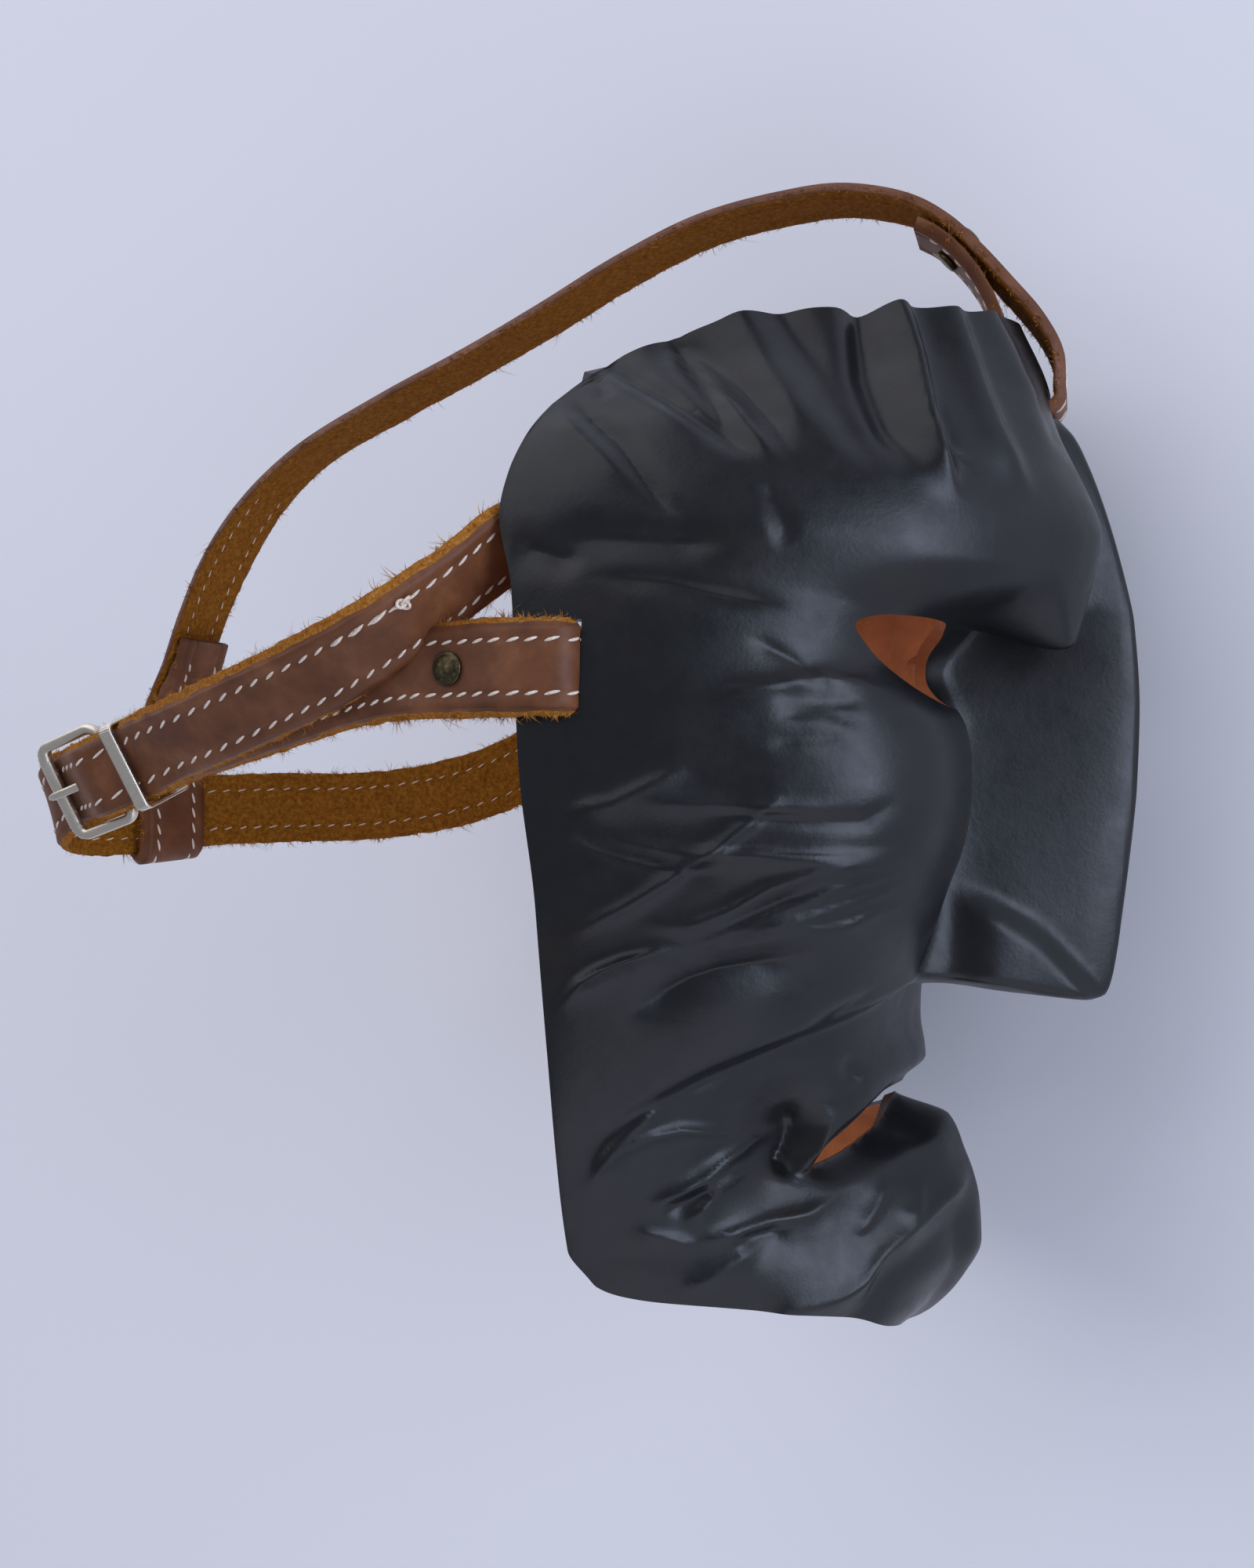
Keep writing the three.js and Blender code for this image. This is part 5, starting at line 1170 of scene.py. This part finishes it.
section = np.stack([bevel_wide * half_wide - rib_cut, bevel_thick * (BAR_THICK / 2 - rib_cut)], -1)
path = FRONT_BAR + loop[:, :1] * BUCKLE_WAY + loop[:, 1:] * BAR_WAY
sideways = loop_out[:, :1] * BUCKLE_WAY + loop_out[:, 1:] * BAR_WAY
buckle = carried("buckle_wire_frame", path, sideways, np.broadcast_to(BUCKLE_OUT, path.shape), section,
                 nickel, True)
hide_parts("buckle_frame")

# The prong: a flat wire bent round the heel bar and free to turn on it, grooved along its top. The
# tail that runs over it holds its tip down on the front bar
PRONG_OFF_BAR = 0.6
PRONG_RING = BAR_THICK / 2 * np.sqrt(2) + CLEAR_GAP + PRONG_OFF_BAR
PRONG_POINTS = 90
PRONG_TIP = -3.4
PRONG_FLAT = 0.72
curl = np.radians(np.linspace(-250, 40, 40) + 90)
ring_path = np.stack([BAR_GAP + PRONG_RING * np.cos(curl), PRONG_RING * np.sin(curl)], 1)
tip_along = np.linspace(BAR_GAP - 2.5, PRONG_TIP, 40)
tip_out = np.interp(tip_along, [PRONG_TIP, -1.5, 1.5, 5, 9, BAR_GAP - 2.5], [1.5, 2.6, 3.2, 3.4, 3.0, 2.0])
spine = np.concatenate([ring_path, np.stack([tip_along, tip_out], 1)])
gone = np.concatenate([[0], np.cumsum(np.hypot(*np.diff(spine, axis=0).T))])
spine = read_off(np.linspace(0, gone[-1], PRONG_POINTS), gone, spine)
prong_path = FRONT_BAR + spine[:, :1] * BUCKLE_WAY + spine[:, 1:] * BUCKLE_OUT
prong_up = np.cross(unit(np.gradient(prong_path, axis=0)), BAR_WAY)
taper = np.interp(np.linspace(0, 1, PRONG_POINTS), [0, 0.03, 0.5, 0.9, 1], [0.5, 1.15, 1.2, 1.0, 0.35])
ring = round_angles(24)
groove = 1 - 0.35 * bell(ring, 0.5 * np.pi, 0.35) - 0.35 * bell(ring, 1.5 * np.pi, 0.35)
section = taper[:, None, None] * np.stack([np.cos(ring), np.sin(ring) * groove * PRONG_FLAT], -1)
prong = carried("buckle_prong_wire", prong_path, np.broadcast_to(BAR_WAY, prong_path.shape), prong_up,
                section, nickel, False)
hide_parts("buckle_prong")

# The keeper: a band of pressed, nickel-plated strip, finely ribbed across and bent round the right
# strap, its fold and the tail, which hold it by their thickness alone
KEEPER_ALONG = 4.6
KEEPER_WALL = 1.0
KEEPER_POINTS = 840
KEEPER_RIB_POINTS = 6
KEEPER_RIB_DEEP = 0.09
FOLD_ROOM = 1.0
TAIL_ROOM = 0.9
near = np.argmin(np.linalg.norm(right_way["at"] - on_buckle(BAR_GAP + 13.6, LAYER_STEP / 2), axis=1))
keeper_along, keeper_wide = right_way["along"][near], right_way["wide"][near]
keeper_in = np.cross(keeper_along, keeper_wide)
keeper_half = STRAP_WIDE / 2 + CLEAR_GAP + SIDE_PLAY + KEEPER_WALL / 2
keeper_deep = LAYER_STEP + STRAP_THICK / 2 + 1.1 + KEEPER_WALL / 2
loop, loop_out = rounded_loop(-keeper_deep - TAIL_ROOM, keeper_deep + FOLD_ROOM, keeper_half, 1.6,
                              KEEPER_POINTS)
band = np.linspace(-1, 1, 13)
wave = np.cos(np.arange(KEEPER_POINTS) * 2 * np.pi / KEEPER_RIB_POINTS)
rib = KEEPER_RIB_DEEP * (0.5 + 0.5 * wave)[:, None] * (np.abs(band) < 0.86)
band_rise = KEEPER_WALL / 2 * np.where(np.abs(band) > 0.97, 0.6, 1) - rib
band_side = np.broadcast_to(band * KEEPER_ALONG / 2, band_rise.shape)
inside = np.stack([np.full(3, -KEEPER_WALL / 2), np.array([1, 0, -1]) * KEEPER_ALONG / 2], 1)
section = np.concatenate([np.stack([band_rise, band_side], -1),
                          np.broadcast_to(inside, (KEEPER_POINTS, 3, 2))], 1)
path = right_way["at"][near] + loop[:, :1] * keeper_in + loop[:, 1:] * keeper_wide
sideways = loop_out[:, :1] * keeper_in + loop_out[:, 1:] * keeper_wide
keeper = carried("keeper_band", path, sideways, np.broadcast_to(keeper_along, path.shape), section,
                 nickel, True)
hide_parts("keeper")


# The knot: the waxed thread's end, tied in a loose overhand knot where the doubled stitches end. It is
# drawn as a trefoil that lies on the grain side
KNOT_SIZE = 0.5
KNOT_OUT = -2.1
THREAD_HALF = 0.36
turn = round_angles(96)
knot_path = along_way(rear_way, knot_length + KNOT_SIZE * (np.sin(turn) + 2 * np.sin(2 * turn)),
                      STITCH_ROW + KNOT_SIZE * (np.cos(turn) - 2 * np.cos(2 * turn)),
                      KNOT_OUT + 0.45 * np.sin(3 * turn))
knot_along = unit(np.roll(knot_path, -1, axis=0) - np.roll(knot_path, 1, axis=0))
knot_face = rear_way["face"][np.searchsorted(rear_way["length"], knot_length)]
knot_first = unit(np.cross(knot_along, knot_face))
ring = round_angles(8)
carried("rear_strap_thread_knot", knot_path, knot_first, np.cross(knot_along, knot_first),
        THREAD_HALF * np.stack([np.cos(ring), np.sin(ring)], 1), cream_thread, True)


# Rivets: tubular rivets of darkened brass with a low domed head, a rolled rim and a flat cap behind,
# pressed through two layers of a strap to close its loop. The metal is dull and patchy.
dark_bronze, shader, mm = new_material("darkened_brass")
patina = add(dark_bronze, "ShaderNodeTexNoise", "Fac", {"Scale": 0.9, "Detail": 6.0, "Roughness": 0.65},
             {"Vector": mm})
bronze = add(dark_bronze, "ShaderNodeValToRGB", "Color",
             {"stops": [(0.35, "#3A352A"), (0.55, "#5A523C"), (0.75, "#8A7C58")]}, {"Fac": patina})
dent = add(dark_bronze, "ShaderNodeBump", "Normal", {"Strength": 0.2, "Distance": 0.0002},
           {"Height": patina})
fit(dark_bronze, shader, {"Metallic": 1.0, "Roughness": 0.38}, {"Base Color": bronze, "Normal": dent})
RIVET_HEAD = 3.8
RIVET_SHANK = 1.3
RIVET_AROUND = 32


def rivet(name, node, way, place, outward_way):
    """A profile of radius and height turned about the rivet's axis, square to the nearest strap."""
    near = np.argmin(np.linalg.norm(way["at"] - place, axis=1))
    out = way["face"][near] * (np.sign(way["face"][near] @ outward_way) or 1.0)
    base = way["at"][near] + out * (STRAP_THICK / 2 + 0.25)
    cap = way["at"][near] - out * (STRAP_THICK * 1.5 + 1.15)
    long = np.linalg.norm(base - cap)
    profile = np.array([[0, long + 1.5], [1.2, long + 1.47], [2.2, long + 1.3], [3.0, long + 0.95],
                        [3.35, long + 0.75], [3.6, long + 0.8], [RIVET_HEAD, long + 0.55],
                        [RIVET_HEAD, long + 0.15], [3.6, long], [RIVET_SHANK, long], [RIVET_SHANK, 0],
                        [3.1, 0], [3.2, -0.3], [3.1, -0.8], [2.8, -1.1], [0, -1.1]])
    first = unit(np.cross(out, [0.3, 0.9, 0.1]))
    second = np.cross(out, first)
    angle = round_angles(RIVET_AROUND)
    around = np.cos(angle)[:, None] * first + np.sin(angle)[:, None] * second
    points = cap + profile[:, 1, None, None] * out + profile[:, 0, None, None] * around[None]
    piece = new_piece(name, laid(points.reshape(-1, 3)), grid_faces(len(profile), RIVET_AROUND, closed=True),
                      [dark_bronze], None)
    outward(piece)
    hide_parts(node)


rivet("right_rivet_head", "right_rivet", right_way, np.array([-15, SLOT_HEIGHT, 91.0]), -ACROSS_HEAD)
rivet("left_rivet_head", "left_rivet", rear_way, np.array([-15, SLOT_HEIGHT, -91.0]), ACROSS_HEAD)
rivet("forehead_rivet_head", "forehead_rivet", crown_way, np.array([88.6, 137, 0]), UPRIGHT)
rivet("crown_rivet_head", "crown_rivet", crown_way, on_loop(22, -5), -rear_out)


# The studio: a plain pale floor of matt paper, a broad soft light over the forehead, one in front of
# the nose, and a weak one low below the chin
pale_floor, shader, mm = new_material("pale_paper_floor")
fit(pale_floor, shader, {"Base Color": colour("#F8F9FD"), "Roughness": 0.9})
floor_mesh = bpy.data.meshes.new("studio_floor")
floor_mesh.from_pydata([(-6, -6, 0), (6, -6, 0), (6, 6, 0), (-6, 6, 0)], [], [(0, 1, 2, 3)])
floor_mesh.materials.append(pale_floor)
studio_floor = bpy.data.objects.new("studio_floor", floor_mesh)
bpy.context.scene.collection.objects.link(studio_floor)


def soft_light(name, place, size, power, tint):
    """A square area light at a place in the mask's frame, facing the mask."""
    data = bpy.data.lights.new(name, "AREA")
    data.size = size
    data.energy = power
    data.color = colour(tint)[:3]
    light = bpy.data.objects.new(name, data)
    bpy.context.scene.collection.objects.link(light)
    at = laid(np.array(place, float))
    back = unit(at - laid(np.zeros(3)))
    first = unit(np.cross([0.1, 0.95, 0.2], back))
    axes = np.eye(4)
    axes[:3] = np.stack([first, np.cross(back, first), back, at], axis=1)
    light.matrix_world = Matrix(axes.tolist())


soft_light("sky_light", [-1650, 1980, 960], 4.2, 61, "#F6F5FF")
soft_light("window_light", [2420, 550, 1160], 2.2, 76, "#D6E4FF")
soft_light("low_light", [960, -2060, 1540], 3.0, 26, "#E6EAFF")
world = bpy.data.worlds.new("studio_air")
world.use_nodes = True
world.node_tree.nodes["Background"].inputs["Color"].default_value = colour("#DDE2F4")
world.node_tree.nodes["Background"].inputs["Strength"].default_value = 0.36
bpy.context.scene.world = world
bpy.context.scene.view_settings.view_transform = "Standard"
